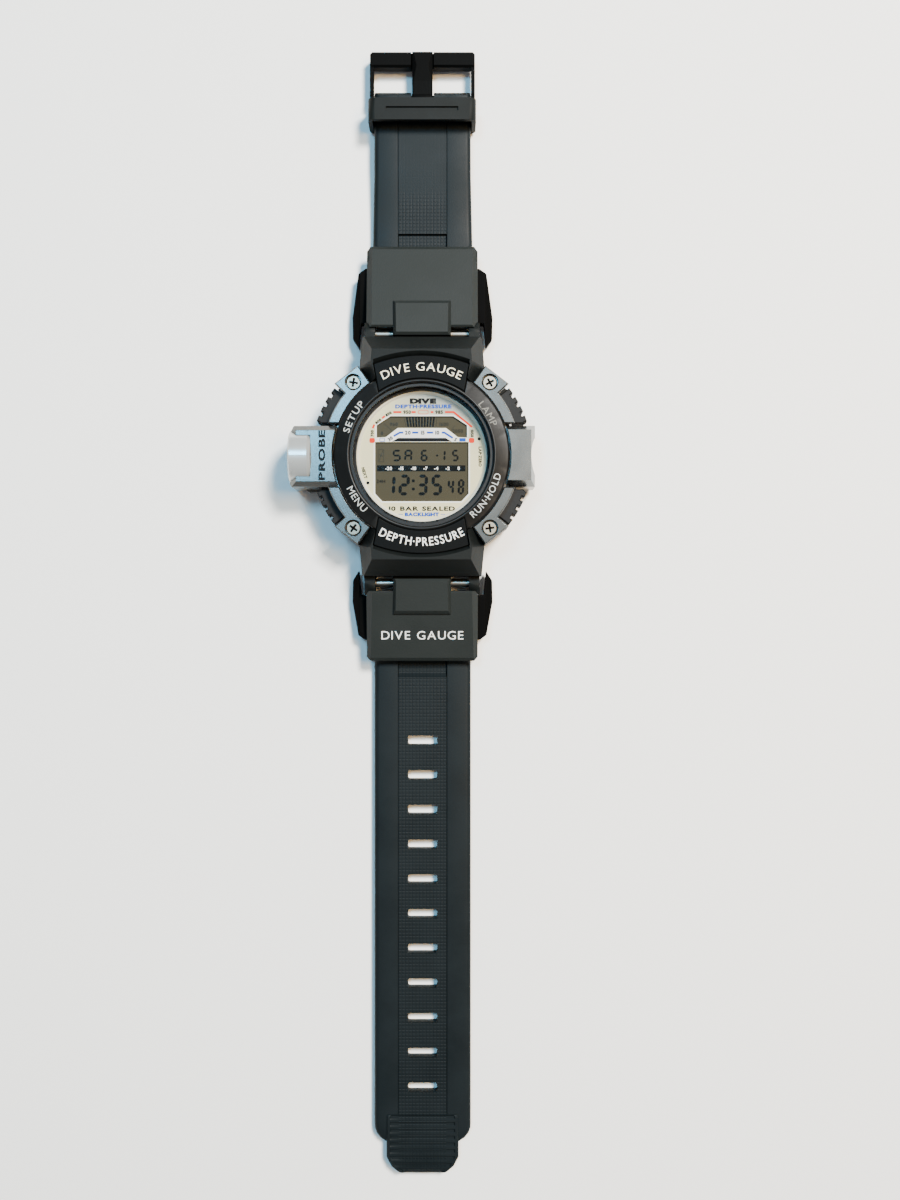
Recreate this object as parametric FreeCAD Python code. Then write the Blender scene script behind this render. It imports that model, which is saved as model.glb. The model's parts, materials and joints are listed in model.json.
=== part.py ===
import FreeCAD, Part
import math
import os

# Wrist dive computer, laid on its back with the strap open, in millimetres.
# Origin: centre of the case back's flat face. +X is 3 o'clock, +Y runs to the buckle, +Z out of the dial.
V = FreeCAD.Vector
X_AXIS = V(1, 0, 0)
Y_AXIS = V(0, 1, 0)
ORIGIN = V(0, 0, 0)
FAR = 60.0            # longer than any cut needs to be
GAP = 0.05            # slip clearance between pieces that are only assembled
RUNNING = 0.05        # radial clearance of a pin in a turning barrel

# Case, bottom to top
BACK_TOP = 1.4
BACK_R = 17.0
BACK_EAR = 13.4       # case back screws stand at (+-BACK_EAR, +-BACK_EAR)
BACK_EAR_R = 2.6
BODY_BOTTOM = 0.6
BODY_R = 21.0
BODY_FOOT_R = 18.8
BODY_FOOT_TOP = 3.0
CAVITY_R = 15.2
PLATE_SEAT = 10.4
PLATE_TOP = 12.4
FLANGE_BOTTOM = 9.9
RING_SEAT = 10.8
RING_R = 19.2
SIDE_FLAT_X = 19.4    # flats that the sensor housing and the side guard stand against
SIDE_FLAT_Y = 7.1

# Hoods over the lugs at 12 and 6 o'clock
HOOD_TOP = 14.2
HOOD_END = 26.3
HOOD_OUTLINE = [(13.2, HOOD_END), (13.8, 19.7), (10.9, 15.6), (-10.9, 15.6), (-13.8, 19.7), (-13.2, HOOD_END)]
HOOD_CREST = V(10.95, 20.2, HOOD_TOP)
HOOD_SHOULDER = V(13.9, 19.8, 8.6)
HOOD_TAIL = V(13.2, HOOD_END, 9.0)
HOOD_NOSE = V(10.0, 15.6, 13.6)

# Label panels in the hoods
PANEL_Z = (11.6, 13.5)
PANEL_INNER_R = 16.45
PANEL_INNER_X = 9.35
PANEL_OUTER_X = 10.5
PANEL_OUTER_Y = 19.7
PANEL_OUTER_MID = 21.6
PANEL_RELIEF = 0.95   # how far the hood's wall leans back above the panel

# Side plates and their screws
LOBE = [(13.9, 19.5), (11.05, 15.5), (13.0, 13.5), (16.73, 13.5), (19.0, 15.6)]
PLATE_R = 21.5
SCREW_X = 14.9
SCREW_Y = 15.9
SCREW_HEAD_R = 1.6
SCREW_HEAD_Z = (10.9, 11.75)
SCREW_SHANK_R = 0.8

# Push-buttons, one in each quarter, pressed along X
BUTTON_Y = 10.6
BUTTON_Z = 7.4
BUTTON_TRAVEL = 0.8
CAP_R = (21.3, 23.7)
CAP_ANGLES = (17.0, 38.0)
CAP_Z = (4.8, 10.0)
CAP_LOW_Y = 7.25
TOOTH_TOP_R = 24.4
TOOTH_PITCH = 5.44    # degrees, 2.3 mm on the cap's rim
TOOTH_HALF = 1.6      # degrees
TOOTH_COUNT = 4
STEM_R = 0.9
STEM_X = (11.1, 20.4)
STEM_HEAD_R = 1.4
STEM_HEAD_X = (10.7, 11.1)
SPRING_X = (14.8, 18.3)
SPRING_R = 1.4
SPRING_WIRE_R = 0.18
SPRING_TURNS = 4
SEAL_X = 13.0

# Pressure sensor on the 9 o'clock side
SENSOR_Y = -0.25
SENSOR_HALF_Y = 6.65
SENSOR_X = (-28.8, -18.2)
SENSOR_Z = (1.6, 13.0)
BARREL_R = 6.0
BARREL_Z = 8.9
BARREL_X = (-29.0, -24.2)
SHOULDER_R = 19.6     # upper inner edge of the sensor housing and the side guard

# Dial stack
DIAL_Z = (9.0, 9.4)
CRYSTAL_R = 14.95
CRYSTAL_Z = (11.0, 13.0)
LCD_Z = (7.6, 8.9)
BOARD_Z = (4.9, 5.7)
MODULE_R = 15.0
MODULE_Z = (1.9, 9.0)
CELL_R = 10.0
CELL_Z = (1.95, 4.45)

# Strap ends: lug pins, links, wings
LUG_Y = 27.8
LUG_Z = 5.2
LUG_PIN_R = 0.9
LUG_PIN_HALF = 12.0
EAR_X = (10.4, 12.8)
EAR_R = 2.6
LINK_HALF = 12.4
LINK_TAB_HALF = 6.4
LINK_BARREL_R = 2.4
LINK_UNDER = 4.3
STRAP_PIN_Z = 3.5
STRAP_PIN_R = 0.8
STRAP_BARREL_R = 1.6
CHEEK_X = (11.4, LINK_HALF)
LINKS = {"12": {"start": 28.9, "end": 47.4, "side": 1}, "6": {"start": 29.6, "end": 45.2, "side": -1}}
PIN_TO_LINK_END = 2.6

# Strap
STRAP_THICK = 2.7
STRAP_HALF_UPPER = 11.3
STRAP_HALF_LOWER = 10.9
UPPER_STEP_START = 56.0
UPPER_STEP_END = 62.0
UPPER_RAISE = 1.5     # the buckle end of the strap runs above the keeper's lower wall
UPPER_THICK = 2.8
UPPER_SPLIT = 64.0
SLOT_FIRST = 63.3
SLOT_PITCH = 7.85
SLOT_COUNT = 11
SLOT_HALF_X = 3.3
SLOT_HALF_Y = 1.05
SLOT_CORNER = 0.4
LOWER_SPLITS = [67.2, 90.8, 114.3, 137.9]
LOWER_END = 161.4
SPLIT_GAP = 0.05
CENTRE_HALF = 5.55    # the strap's middle panel

# Buckle
BUCKLE_Y = 81.4
BUCKLE_Z = 2.9
BUCKLE_PIN_R = 0.8
BUCKLE_INNER = 10.95
BUCKLE_OUTER = 11.8
BUCKLE_END_Y = 91.6
BUCKLE_BAR = 3.5
BUCKLE_Z_SPAN = (1.4, 4.4)
TANG_HALF = 2.3
KEEPER_Y = (74.7, 79.6)
KEEPER_HALF = 12.0
KEEPER_TOP = 8.4
KEEPER_WALL = 1.2
KEEPER_SIDE = 0.95


def block(x, y, z):
    """Box between three pairs of limits."""
    return Part.makeBox(x[1] - x[0], y[1] - y[0], z[1] - z[0], V(x[0], y[0], z[0]))


def disc(r, z, x=0.0, y=0.0):
    """Upright cylinder."""
    return Part.makeCylinder(r, z[1] - z[0], V(x, y, z[0]))


def rod(r, x, y, z):
    """Cylinder along X."""
    return Part.makeCylinder(r, x[1] - x[0], V(x[0], y, z), X_AXIS)


def ring(r, z):
    """Upright ring between two radii."""
    return disc(r[1], z).cut(disc(r[0], z))


def sector(r, angles, z):
    """Part of an upright ring between two polar angles in degrees."""
    turn = angles[1] - angles[0]
    outer = Part.makeCylinder(r[1], z[1] - z[0], V(0, 0, z[0]), V(0, 0, 1), turn)
    outer.rotate(ORIGIN, V(0, 0, 1), angles[0])
    return outer.cut(disc(r[0], z))


def prism(points, z):
    """Plan outline raised between two heights."""
    corners = [V(x, y, z[0]) for x, y in points]
    return Part.Face(Part.makePolygon(corners + corners[:1])).extrude(V(0, 0, z[1] - z[0]))


def side_prism(points, x):
    """Outline in Y and Z, extruded along X."""
    corners = [V(x[0], y, z) for y, z in points]
    return Part.Face(Part.makePolygon(corners + corners[:1])).extrude(V(x[1] - x[0], 0, 0))


def turned(points):
    """Solid of revolution about Z from points (radius, height)."""
    corners = [V(r, 0, z) for r, z in points]
    return Part.Face(Part.makePolygon(corners + corners[:1])).revolve(ORIGIN, V(0, 0, 1), 360)


def above(p, q, r):
    """All the space above the plane through three points."""
    normal = (q - p).cross(r - p).normalize()
    if normal.z < 0:
        normal = normal * -1
    return Part.makeCylinder(FAR, FAR, p, normal)


def flip_x(shape):
    return shape.mirror(ORIGIN, X_AXIS)


def flip_y(shape):
    return shape.mirror(ORIGIN, Y_AXIS)


def both_x(shape):
    return [shape, flip_x(shape)]


def both_y(shape):
    return [shape, flip_y(shape)]


def four(shape):
    """A shape and its copies in the other three quarters."""
    return both_x(shape) + both_x(flip_y(shape))


def joined(shapes):
    solid = shapes[0]
    for other in shapes[1:]:
        solid = solid.fuse(other)
    return solid.removeSplitter()


def without(shape, cutters):
    for cutter in cutters:
        shape = shape.cut(cutter)
    return shape


def chamfered(shape, size, keep):
    """Chamfer the edges that keep(edge) picks."""
    edges = [e for e in shape.Edges if keep(e)]
    return shape.makeChamfer(size, edges)


def at_height(*heights):
    """Picks edges that lie wholly at one of the given heights."""
    def keep(edge):
        box = edge.BoundBox
        return any(abs(box.ZMin - z) < 1e-4 and abs(box.ZMax - z) < 1e-4 for z in heights)
    return keep


def save(name, shape):
    shape.exportStep(f"parts/{name}.step")


def panel_outline(z, relief=0.0, slack=0.0):
    """Closed wire round a label panel, its outer arc pushed out by relief."""
    inner_r = PANEL_INNER_R - slack
    inner_x = PANEL_INNER_X + slack
    outer_x = PANEL_OUTER_X + slack
    inner_y = math.sqrt(inner_r ** 2 - inner_x ** 2)
    outer_y = PANEL_OUTER_Y + relief + slack
    a = V(-inner_x, inner_y, z)
    b = V(inner_x, inner_y, z)
    c = V(outer_x, outer_y, z)
    d = V(-outer_x, outer_y, z)
    inner = Part.Arc(a, V(0, inner_r, z), b).toShape()
    outer = Part.Arc(c, V(0, PANEL_OUTER_MID + relief + slack, z), d).toShape()
    return Part.Wire([inner, Part.makeLine(b, c), outer, Part.makeLine(d, a)])


def panel_solid(z, slack=0.0):
    return Part.Face(panel_outline(z[0], 0.0, slack)).extrude(V(0, 0, z[1] - z[0]))


def panel_pocket():
    """Room for a panel, with the hood's wall leaning back above it."""
    wall_foot = 13.2
    mouth = HOOD_TOP + 0.2
    straight = panel_solid((PANEL_Z[0], mouth), GAP)
    leaning = Part.makeLoft([panel_outline(wall_foot), panel_outline(mouth, PANEL_RELIEF)], True)
    return straight.fuse(leaning)


def hood():
    """Resin hood over the 12 o'clock lug, with its two faceted shoulders."""
    solid = prism(HOOD_OUTLINE, (1.2, HOOD_TOP))
    slope = above(V(0, 22.8, HOOD_TOP), V(5, 22.8, HOOD_TOP), V(0, HOOD_END, 9.9))
    shoulder = above(HOOD_TAIL, HOOD_SHOULDER, HOOD_CREST)
    cheek = above(HOOD_SHOULDER, HOOD_CREST, HOOD_NOSE)
    heel = side_prism([(22.0, 0.0), (28.0, 0.0), (28.0, 3.4)], (-FAR / 2, FAR / 2))
    solid = without(solid, [slope, heel] + both_x(shoulder) + both_x(cheek))
    ear = rod(EAR_R, EAR_X, LUG_Y, LUG_Z)
    root = block(EAR_X, (24.0, LUG_Y), (LUG_Z - EAR_R, LUG_Z + EAR_R))
    swing = rod(LINK_BARREL_R + 0.5, (-EAR_X[0], EAR_X[0]), LUG_Y, LUG_Z)
    solid = joined([solid] + both_x(ear.fuse(root)))
    pin_hole = rod(LUG_PIN_R + GAP / 2, (-LUG_PIN_HALF - GAP, LUG_PIN_HALF + GAP), LUG_Y, LUG_Z)
    return without(solid, [swing, pin_hole])


def button_bore():
    """Stem bore with its spring seat, seal groove and inner spot face."""
    bore = rod(STEM_R + RUNNING, (8.0, 22.0), BUTTON_Y, BUTTON_Z)
    spring_seat = rod(1.8, (SPRING_X[0], 22.0), BUTTON_Y, BUTTON_Z)
    groove = rod(1.6, (SEAL_X - 0.35, SEAL_X + 0.35), BUTTON_Y, BUTTON_Z)
    spot_face = rod(1.7, (8.0, 11.2), BUTTON_Y, BUTTON_Z)
    return joined([bore, spring_seat, groove, spot_face])


def case_body():
    core = turned([
        (0, BODY_BOTTOM), (BODY_FOOT_R, BODY_BOTTOM), (BODY_R, BODY_FOOT_TOP), (BODY_R, PLATE_SEAT),
        (RING_R + GAP, PLATE_SEAT), (RING_R + GAP, RING_SEAT), (0, RING_SEAT)])
    post = prism([(13.9, 19.5), (10.0, 14.0), (13.0, 10.0), (17.0, 13.5), (19.0, 15.6)],
                 (BODY_BOTTOM, PLATE_SEAT))
    post = chamfered(post, 1.2, lambda e: at_height(BODY_BOTTOM)(e) and e.BoundBox.XMin > 13.5)
    solid = joined([core] + four(post) + both_y(hood()))
    flange_room = sector((16.15, RING_R + 0.45), (-53, 53), (FLANGE_BOTTOM, RING_SEAT + 1))
    button_room = sector((20.2, 30.0), (14.0, 41.0), (CAP_Z[0] - 0.4, PLATE_SEAT))
    side_room = block((SIDE_FLAT_X, 30.0), (-SIDE_FLAT_Y, SIDE_FLAT_Y), (0.0, 20.0))
    back_room = [disc(BACK_R + GAP, (0, BACK_TOP))]
    back_room += four(disc(BACK_EAR_R + GAP, (0, BACK_TOP), BACK_EAR, BACK_EAR))
    back_screw = disc(0.72, (BACK_TOP, 4.6), BACK_EAR, BACK_EAR)
    top_screw = disc(SCREW_SHANK_R + GAP / 2, (5.4, PLATE_SEAT), SCREW_X, SCREW_Y)
    lead_hole = rod(1.2, (-SIDE_FLAT_X - 1, -14.0), SENSOR_Y, BUTTON_Z)
    cutters = [disc(CAVITY_R, (BODY_BOTTOM, RING_SEAT)), ring((15.7, 16.5), (BACK_TOP, 2.0)), lead_hole]
    cutters += [disc(RING_R + GAP, (RING_SEAT, FAR))] + back_room + both_x(flange_room) + both_x(side_room)
    cutters += four(button_room) + four(button_bore()) + four(back_screw) + four(top_screw)
    cutters += both_y(panel_pocket())
    return without(solid, cutters)


def case_back():
    ear = chamfered(disc(BACK_EAR_R, (0, BACK_TOP), BACK_EAR, BACK_EAR), 0.25, at_height(0.0))
    plate = joined([chamfered(disc(BACK_R, (0, BACK_TOP)), 0.25, at_height(0.0))] + four(ear))
    countersinks = four(disc(1.4, (0, 0.7), BACK_EAR, BACK_EAR))
    holes = four(disc(0.72, (0.7, BACK_TOP), BACK_EAR, BACK_EAR))
    rim = ring((14.2, 14.7), (0, 0.15))
    return without(plate, countersinks + holes + [rim])


def cross_screw(head_r, shank_r, head, tip):
    """Cross-head screw standing on Z: head is its pair of heights, tip the far end of the shank."""
    outer = head[0] if tip > head[1] else head[1]
    inner = head[1] if tip > head[1] else head[0]
    inward = 1 if inner > outer else -1
    top = chamfered(disc(head_r, head), 0.22, at_height(outer))
    shank = disc(shank_r, (min(inner, tip), max(inner, tip)))
    slot_half = 0.24
    slot_reach = head_r * 0.62
    depth = (min(outer, outer + inward * 0.45), max(outer, outer + inward * 0.45))
    across = block((-slot_reach, slot_reach), (-slot_half, slot_half), depth)
    along = block((-slot_half, slot_half), (-slot_reach, slot_reach), depth)
    return without(joined([top, shank]), [across, along])


def placed(shape, x, y, turn=0.0):
    copy = shape.copy()
    copy.rotate(ORIGIN, V(0, 0, 1), turn)
    copy.translate(V(x, y, 0))
    return copy


def back_screws():
    screw = cross_screw(1.3, 0.7, (0.05, 0.7), 4.4)
    turns = [12, 50, -20, 33]
    places = [(1, 1), (-1, 1), (-1, -1), (1, -1)]
    return Part.makeCompound([placed(screw, sx * BACK_EAR, sy * BACK_EAR, turn)
                              for (sx, sy), turn in zip(places, turns)])


def bezel_screws():
    screw = cross_screw(SCREW_HEAD_R, SCREW_SHANK_R, SCREW_HEAD_Z, 5.5)
    turns = [28, -10, 55, 8]
    places = [(1, 1), (-1, 1), (-1, -1), (1, -1)]
    return Part.makeCompound([placed(screw, sx * SCREW_X, sy * SCREW_Y, turn)
                              for (sx, sy), turn in zip(places, turns)])


def bezel_plate():
    """Right-hand side plate: two screw lobes on one flange that the bezel ring clamps."""
    raised = (PLATE_SEAT, PLATE_TOP)
    band = sector((RING_R + GAP, PLATE_R), (15.0, 47.0), raised).cut(block((0, 30), (-30, 6.95), (0, 20)))
    lobe = prism(LOBE, raised).cut(disc(RING_R + GAP, raised))
    half = joined([band, lobe])
    half = chamfered(half, 0.25, at_height(PLATE_TOP))
    half = without(half, [
        disc(SCREW_HEAD_R + 0.25, (SCREW_HEAD_Z[0], PLATE_TOP), SCREW_X, SCREW_Y),
        disc(SCREW_SHANK_R + GAP / 2, raised, SCREW_X, SCREW_Y)])
    flange = sector((16.2, RING_R + 0.4), (-52, 52), (FLANGE_BOTTOM, RING_SEAT))
    flange = flange.cut(block((SIDE_FLAT_X - GAP, 30), (-6.95, 6.95), (0, 20)))
    return joined(both_y(half) + [flange])


def bezel_ring():
    profile = [(15.65, RING_SEAT), (RING_R, RING_SEAT), (RING_R, 12.5), (RING_R - 0.3, 12.9),
               (16.3, 13.5), (16.15, 13.6), (15.95, 13.6), (15.65, 13.4)]
    return without(turned(profile), both_y(panel_solid((PANEL_Z[0], 20.0), GAP)))


def label_panel():
    return chamfered(panel_solid(PANEL_Z), 0.2, at_height(PANEL_Z[1]))


def sensor_housing():
    y = (SENSOR_Y - SENSOR_HALF_Y, SENSOR_Y + SENSOR_HALF_Y)
    lower = block((SENSOR_X[0], -SIDE_FLAT_X - GAP), y, (SENSOR_Z[0], RING_SEAT))
    upper = block(SENSOR_X, y, (RING_SEAT + GAP, SENSOR_Z[1])).cut(disc(SHOULDER_R, (0, 20)))
    bridge = block((SENSOR_X[0], -SHOULDER_R - 0.2), y, (RING_SEAT - 1, RING_SEAT + 1))
    foot = prism([(-20.5, 6.9), (-25.3, 7.05), (-28.3, 5.2), (-28.3, -5.7), (-25.3, -7.4), (-20.5, -7.2)],
                 (SENSOR_Z[0], 4.2))
    foot = foot.cut(block((-SIDE_FLAT_X - GAP, 0), (-10, 10), (0, 20)))
    solid = joined([lower, upper, bridge, foot])
    outer_x = SENSOR_X[0]
    bevels = [
        above(V(outer_x, 0, 11.4), V(outer_x, 3, 11.4), V(outer_x + 1.5, 0, SENSOR_Z[1])),
        above(V(-24, y[1], 11.9), V(-28, y[1], 11.9), V(-24, y[1] - 1.1, SENSOR_Z[1])),
        above(V(-24, y[0], 11.9), V(-28, y[0], 11.9), V(-24, y[0] + 1.1, SENSOR_Z[1]))]
    corner = prism([(outer_x - 1, y[1] + 1), (outer_x + 1.6, y[1] + 1), (outer_x - 1, y[1] - 3.2)], (0, 20))
    heel = prism([(outer_x - 1, y[0] - 1), (outer_x + 1.2, y[0] - 1), (outer_x - 1, y[0] + 1.8)], (0, 20))
    barrel_bore = rod(BARREL_R + 0.08, (-30.0, BARREL_X[1]), SENSOR_Y, BARREL_Z)
    can_bore = rod(3.7, (BARREL_X[1], -20.6), SENSOR_Y, BARREL_Z)
    lead_hole = rod(1.0, (-20.8, -SIDE_FLAT_X), SENSOR_Y, BUTTON_Z)
    return without(solid, bevels + [corner, heel, barrel_bore, can_bore, lead_hole])


def sensor_cap():
    """Barrel over the sensor, with the water inlet holes in its outer end."""
    barrel = rod(BARREL_R, BARREL_X, SENSOR_Y, BARREL_Z)
    for x, bevel in ((BARREL_X[0], 0.35), (BARREL_X[1], 0.65)):
        rim = [e for e in barrel.Edges if abs(e.BoundBox.XMin - x) < 1e-4 and abs(e.BoundBox.XMax - x) < 1e-4]
        barrel = barrel.makeChamfer(bevel, rim)
    chamber = rod(3.9, (BARREL_X[0] + 1.2, BARREL_X[1]), SENSOR_Y, BARREL_Z)
    inlets = [rod(0.55, (-30.0, -27.0), SENSOR_Y, BARREL_Z)]
    for step in range(6):
        angle = math.radians(60 * step)
        y = SENSOR_Y + 2.2 * math.cos(angle)
        inlets.append(rod(0.55, (-30.0, -27.0), y, BARREL_Z + 2.2 * math.sin(angle)))
    return without(barrel, [chamber] + inlets)


def pressure_sensor():
    can = rod(3.6, (-27.4, -21.0), SENSOR_Y, BARREL_Z)
    neck = rod(0.9, (-21.0, -18.6), SENSOR_Y, BUTTON_Z)
    return joined([can, neck])


def side_guard():
    """Guard between the two right-hand buttons."""
    lower = block((SIDE_FLAT_X + GAP, 24.9), (-6.7, 6.7), (SENSOR_Z[0], RING_SEAT))
    upper = block((18.3, 24.9), (-6.7, 6.7), (RING_SEAT + GAP, 12.8)).cut(disc(SHOULDER_R, (0, 20)))
    bridge = block((SHOULDER_R + 0.2, 24.9), (-6.7, 6.7), (RING_SEAT - 1, RING_SEAT + 1))
    end = above(V(24.9, 0, 9.6), V(24.9, 5, 9.6), V(23.9, 0, 12.8))
    upper_side = above(V(20, 6.7, 9.9), V(24, 6.7, 9.9), V(20, 5.5, 12.8))
    scoop = disc(9.0, (0, 20), 32.9, 0)
    return without(joined([lower, upper, bridge]), [end, scoop] + both_y(upper_side))


def dial_windows(z):
    """The main display window and the arched one over it."""
    main = prism([(-10.3, 3.2), (-10.3, -8.2), (-8.7, -9.85), (8.7, -9.85), (10.3, -8.2), (10.3, 3.2)], z)
    arch = prism([(-9.95, 4.2), (-9.95, 6.9), (-6.9, 8.9), (6.9, 8.9), (9.95, 6.9), (9.95, 4.2),
                  (7.9, 4.3), (5.3, 6.3), (-5.3, 6.3), (-7.9, 4.3)], z)
    return [main, arch]


def dial_plate():
    return without(disc(14.9, DIAL_Z), dial_windows(DIAL_Z))


def lcd_panel():
    return prism([(-10.8, 6.6), (-10.8, -7.8), (-8.6, -10.3), (8.6, -10.3), (10.8, -7.8), (10.8, 6.6),
                  (7.4, 9.4), (-7.4, 9.4)], LCD_Z)


def module_frame():
    """Plastic frame that holds the cell from below and the board and display from above."""
    solid = disc(MODULE_R, MODULE_Z)
    cell_room = disc(CELL_R + 0.1, (MODULE_Z[0], CELL_Z[1] + GAP))
    board_room = disc(14.2, (BOARD_Z[0], MODULE_Z[1]))
    notch = block((8.0, 15.0), (8.8, 12.6), (BOARD_Z[1] - GAP, MODULE_Z[1]))
    return without(solid, [cell_room, board_room] + four(notch))


def switch_contacts():
    """Leaf contacts on the board, one in line with each button stem."""
    half = 0.8
    foot = block((7.6, 9.8), (BUTTON_Y - half, BUTTON_Y + half), (BOARD_Z[1], BOARD_Z[1] + 0.2))
    leaf = block((9.6, 9.8), (BUTTON_Y - half, BUTTON_Y + half), (BOARD_Z[1], 8.2))
    return Part.makeCompound(four(joined([foot, leaf])))


def contact_strips():
    return Part.makeCompound([block((-8, 8), (y - 0.6, y + 0.6), (BOARD_Z[1], LCD_Z[0]))
                              for y in (8.2, -9.2)])


def cell_clamp():
    strip = block((-13.0, 13.0), (-2.5, 2.5), (1.62, 1.88))
    window = block((-6.0, 6.0), (-1.2, 1.2), (1.62, 1.88))
    return strip.cut(window)


def crystal_gasket():
    wall = ring((CRYSTAL_R + 0.02, 15.6), (RING_SEAT, 12.8))
    lip = ring((14.5, 15.6), (RING_SEAT + 0.1, CRYSTAL_Z[0]))
    return joined([wall, lip])


def button_cap():
    base = sector(CAP_R, CAP_ANGLES, CAP_Z).cut(block((0, 30), (-30, CAP_LOW_Y), (0, 20)))
    base = chamfered(base, 0.2, at_height(*CAP_Z))
    middle = sum(CAP_ANGLES) / 2 + 0.8
    teeth = []
    for step in range(TOOTH_COUNT):
        centre = middle + (step - (TOOTH_COUNT - 1) / 2) * TOOTH_PITCH
        tooth = sector((CAP_R[1] - 0.5, TOOTH_TOP_R), (centre - TOOTH_HALF, centre + TOOTH_HALF), CAP_Z)
        teeth.append(chamfered(tooth, 0.2, at_height(*CAP_Z)))
    stem_socket = rod(STEM_R + GAP / 2, (0, STEM_X[1] + GAP), BUTTON_Y, BUTTON_Z)
    spring_seat = rod(SPRING_R + 0.4, (0, SPRING_X[1] + GAP), BUTTON_Y, BUTTON_Z)
    return without(joined([base] + teeth), [stem_socket, spring_seat])


def button_stem():
    return joined([rod(STEM_R, STEM_X, BUTTON_Y, BUTTON_Z),
                   rod(STEM_HEAD_R, STEM_HEAD_X, BUTTON_Y, BUTTON_Z)])


def button_spring():
    """Return spring round the stem, wound from six-sided wire."""
    length = SPRING_X[1] - SPRING_X[0] - 2 * SPRING_WIRE_R
    path = Part.Wire(Part.makeHelix(length / SPRING_TURNS, length, SPRING_R))
    turns = [math.radians(60 * step) for step in range(6)]
    corners = [V(SPRING_R + SPRING_WIRE_R * math.cos(a), 0, SPRING_WIRE_R * math.sin(a)) for a in turns]
    section = Part.makePolygon(corners + corners[:1])
    coil = path.makePipeShell([section], True, True)
    coil.rotate(ORIGIN, Y_AXIS, 90)
    coil.translate(V(SPRING_X[0] + SPRING_WIRE_R, BUTTON_Y, BUTTON_Z))
    return coil


def button_seals():
    seal = Part.makeTorus(STEM_R + 0.35, 0.3, V(SEAL_X, BUTTON_Y, BUTTON_Z), X_AXIS)
    return Part.makeCompound(four(seal))


def link(start, end):
    """Resin link at 12 o'clock: cover, raised tab, lug barrel and the cheeks that hold the strap pin."""
    pin = end - PIN_TO_LINK_END
    cover = side_prism([
        (start, LINK_UNDER + 0.6), (start, 8.15), (start + 0.4, 8.4), (end - 0.7, 5.95), (end, 5.4),
        (end, 4.7), (pin - 1.6, 4.7), (pin - 1.9, LINK_UNDER), (31.0, LINK_UNDER)], (-LINK_HALF, LINK_HALF))
    corner = prism([(LINK_HALF - 0.8, end + 1), (LINK_HALF - 0.8, end), (LINK_HALF, end - 0.9),
                    (LINK_HALF + 1, end - 0.9), (LINK_HALF + 1, end + 1)], (0, 20))
    shoulder = above(V(LINK_HALF, 30, 6.9), V(LINK_HALF, 46, 4.7), V(LINK_HALF - 1.2, 30, 8.25))
    cover = without(cover, both_x(corner) + both_x(shoulder))
    tab = side_prism([(26.9, 6.0), (26.9, 9.2), (27.5, 9.6), (34.0, 8.75), (34.7, 8.1), (34.7, 5.0),
                      (29.0, 5.0)], (-LINK_TAB_HALF, LINK_TAB_HALF))
    tab_side = above(V(LINK_TAB_HALF, 27, 8.7), V(LINK_TAB_HALF, 34, 8.0), V(LINK_TAB_HALF - 0.8, 27, 9.75))
    tab = without(tab, both_x(tab_side))
    barrel = rod(LINK_BARREL_R, (-LINK_TAB_HALF, LINK_TAB_HALF), LUG_Y, LUG_Z)
    web = side_prism([(LUG_Y, 2.9), (30.3, LINK_UNDER), (31.5, LINK_UNDER), (31.5, 7.5), (LUG_Y, 7.5)],
                     (-LINK_TAB_HALF, LINK_TAB_HALF))
    cheek = rod(1.7, CHEEK_X, pin, STRAP_PIN_Z)
    cheek_top = block(CHEEK_X, (pin - 1.7, pin + 1.7), (STRAP_PIN_Z, 4.9))
    solid = joined([cover, tab, barrel, web] + both_x(cheek.fuse(cheek_top)))
    ear_swing = both_x(rod(EAR_R + 0.35, (EAR_X[0] - 0.3, EAR_X[1] + 1), LUG_Y, LUG_Z))
    lug_bore = rod(LUG_PIN_R + RUNNING, (-FAR, FAR), LUG_Y, LUG_Z)
    strap_swing = rod(STRAP_BARREL_R + 0.2, (-CHEEK_X[0], CHEEK_X[0]), pin, STRAP_PIN_Z)
    pin_hole = rod(STRAP_PIN_R + GAP / 2, (-12.05, 12.05), pin, STRAP_PIN_Z)
    return without(solid, ear_swing + [lug_bore, strap_swing, pin_hole])


def wing(end):
    """Wing plate under a link, which lies on the wrist on both sides of the case."""
    tail = end - PIN_TO_LINK_END - 2.0
    half = [(12.8, tail), (14.4, tail - 1.1), (15.8, 32.0), (15.7, 27.2), (14.3, 25.1), (13.75, 30.5)]
    outline = half + [(-x, y) for x, y in reversed(half)]
    solid = prism(outline, (1.2, LINK_UNDER))
    lean = above(V(15.8, 25, 2.9), V(15.8, 45, 2.9), V(14.1, 25, LINK_UNDER))
    return without(solid, both_x(lean))


def strap_barrel_profile(pin, run):
    """Side outline of a strap's pin end; run is the rest of the outline, from the top round to the bottom."""
    return [(pin - 0.8, 2.2), (pin + 0.8, 4.85), (pin + 3.4, STRAP_THICK)] + run + [(pin + 2.2, 0.0)]


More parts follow.
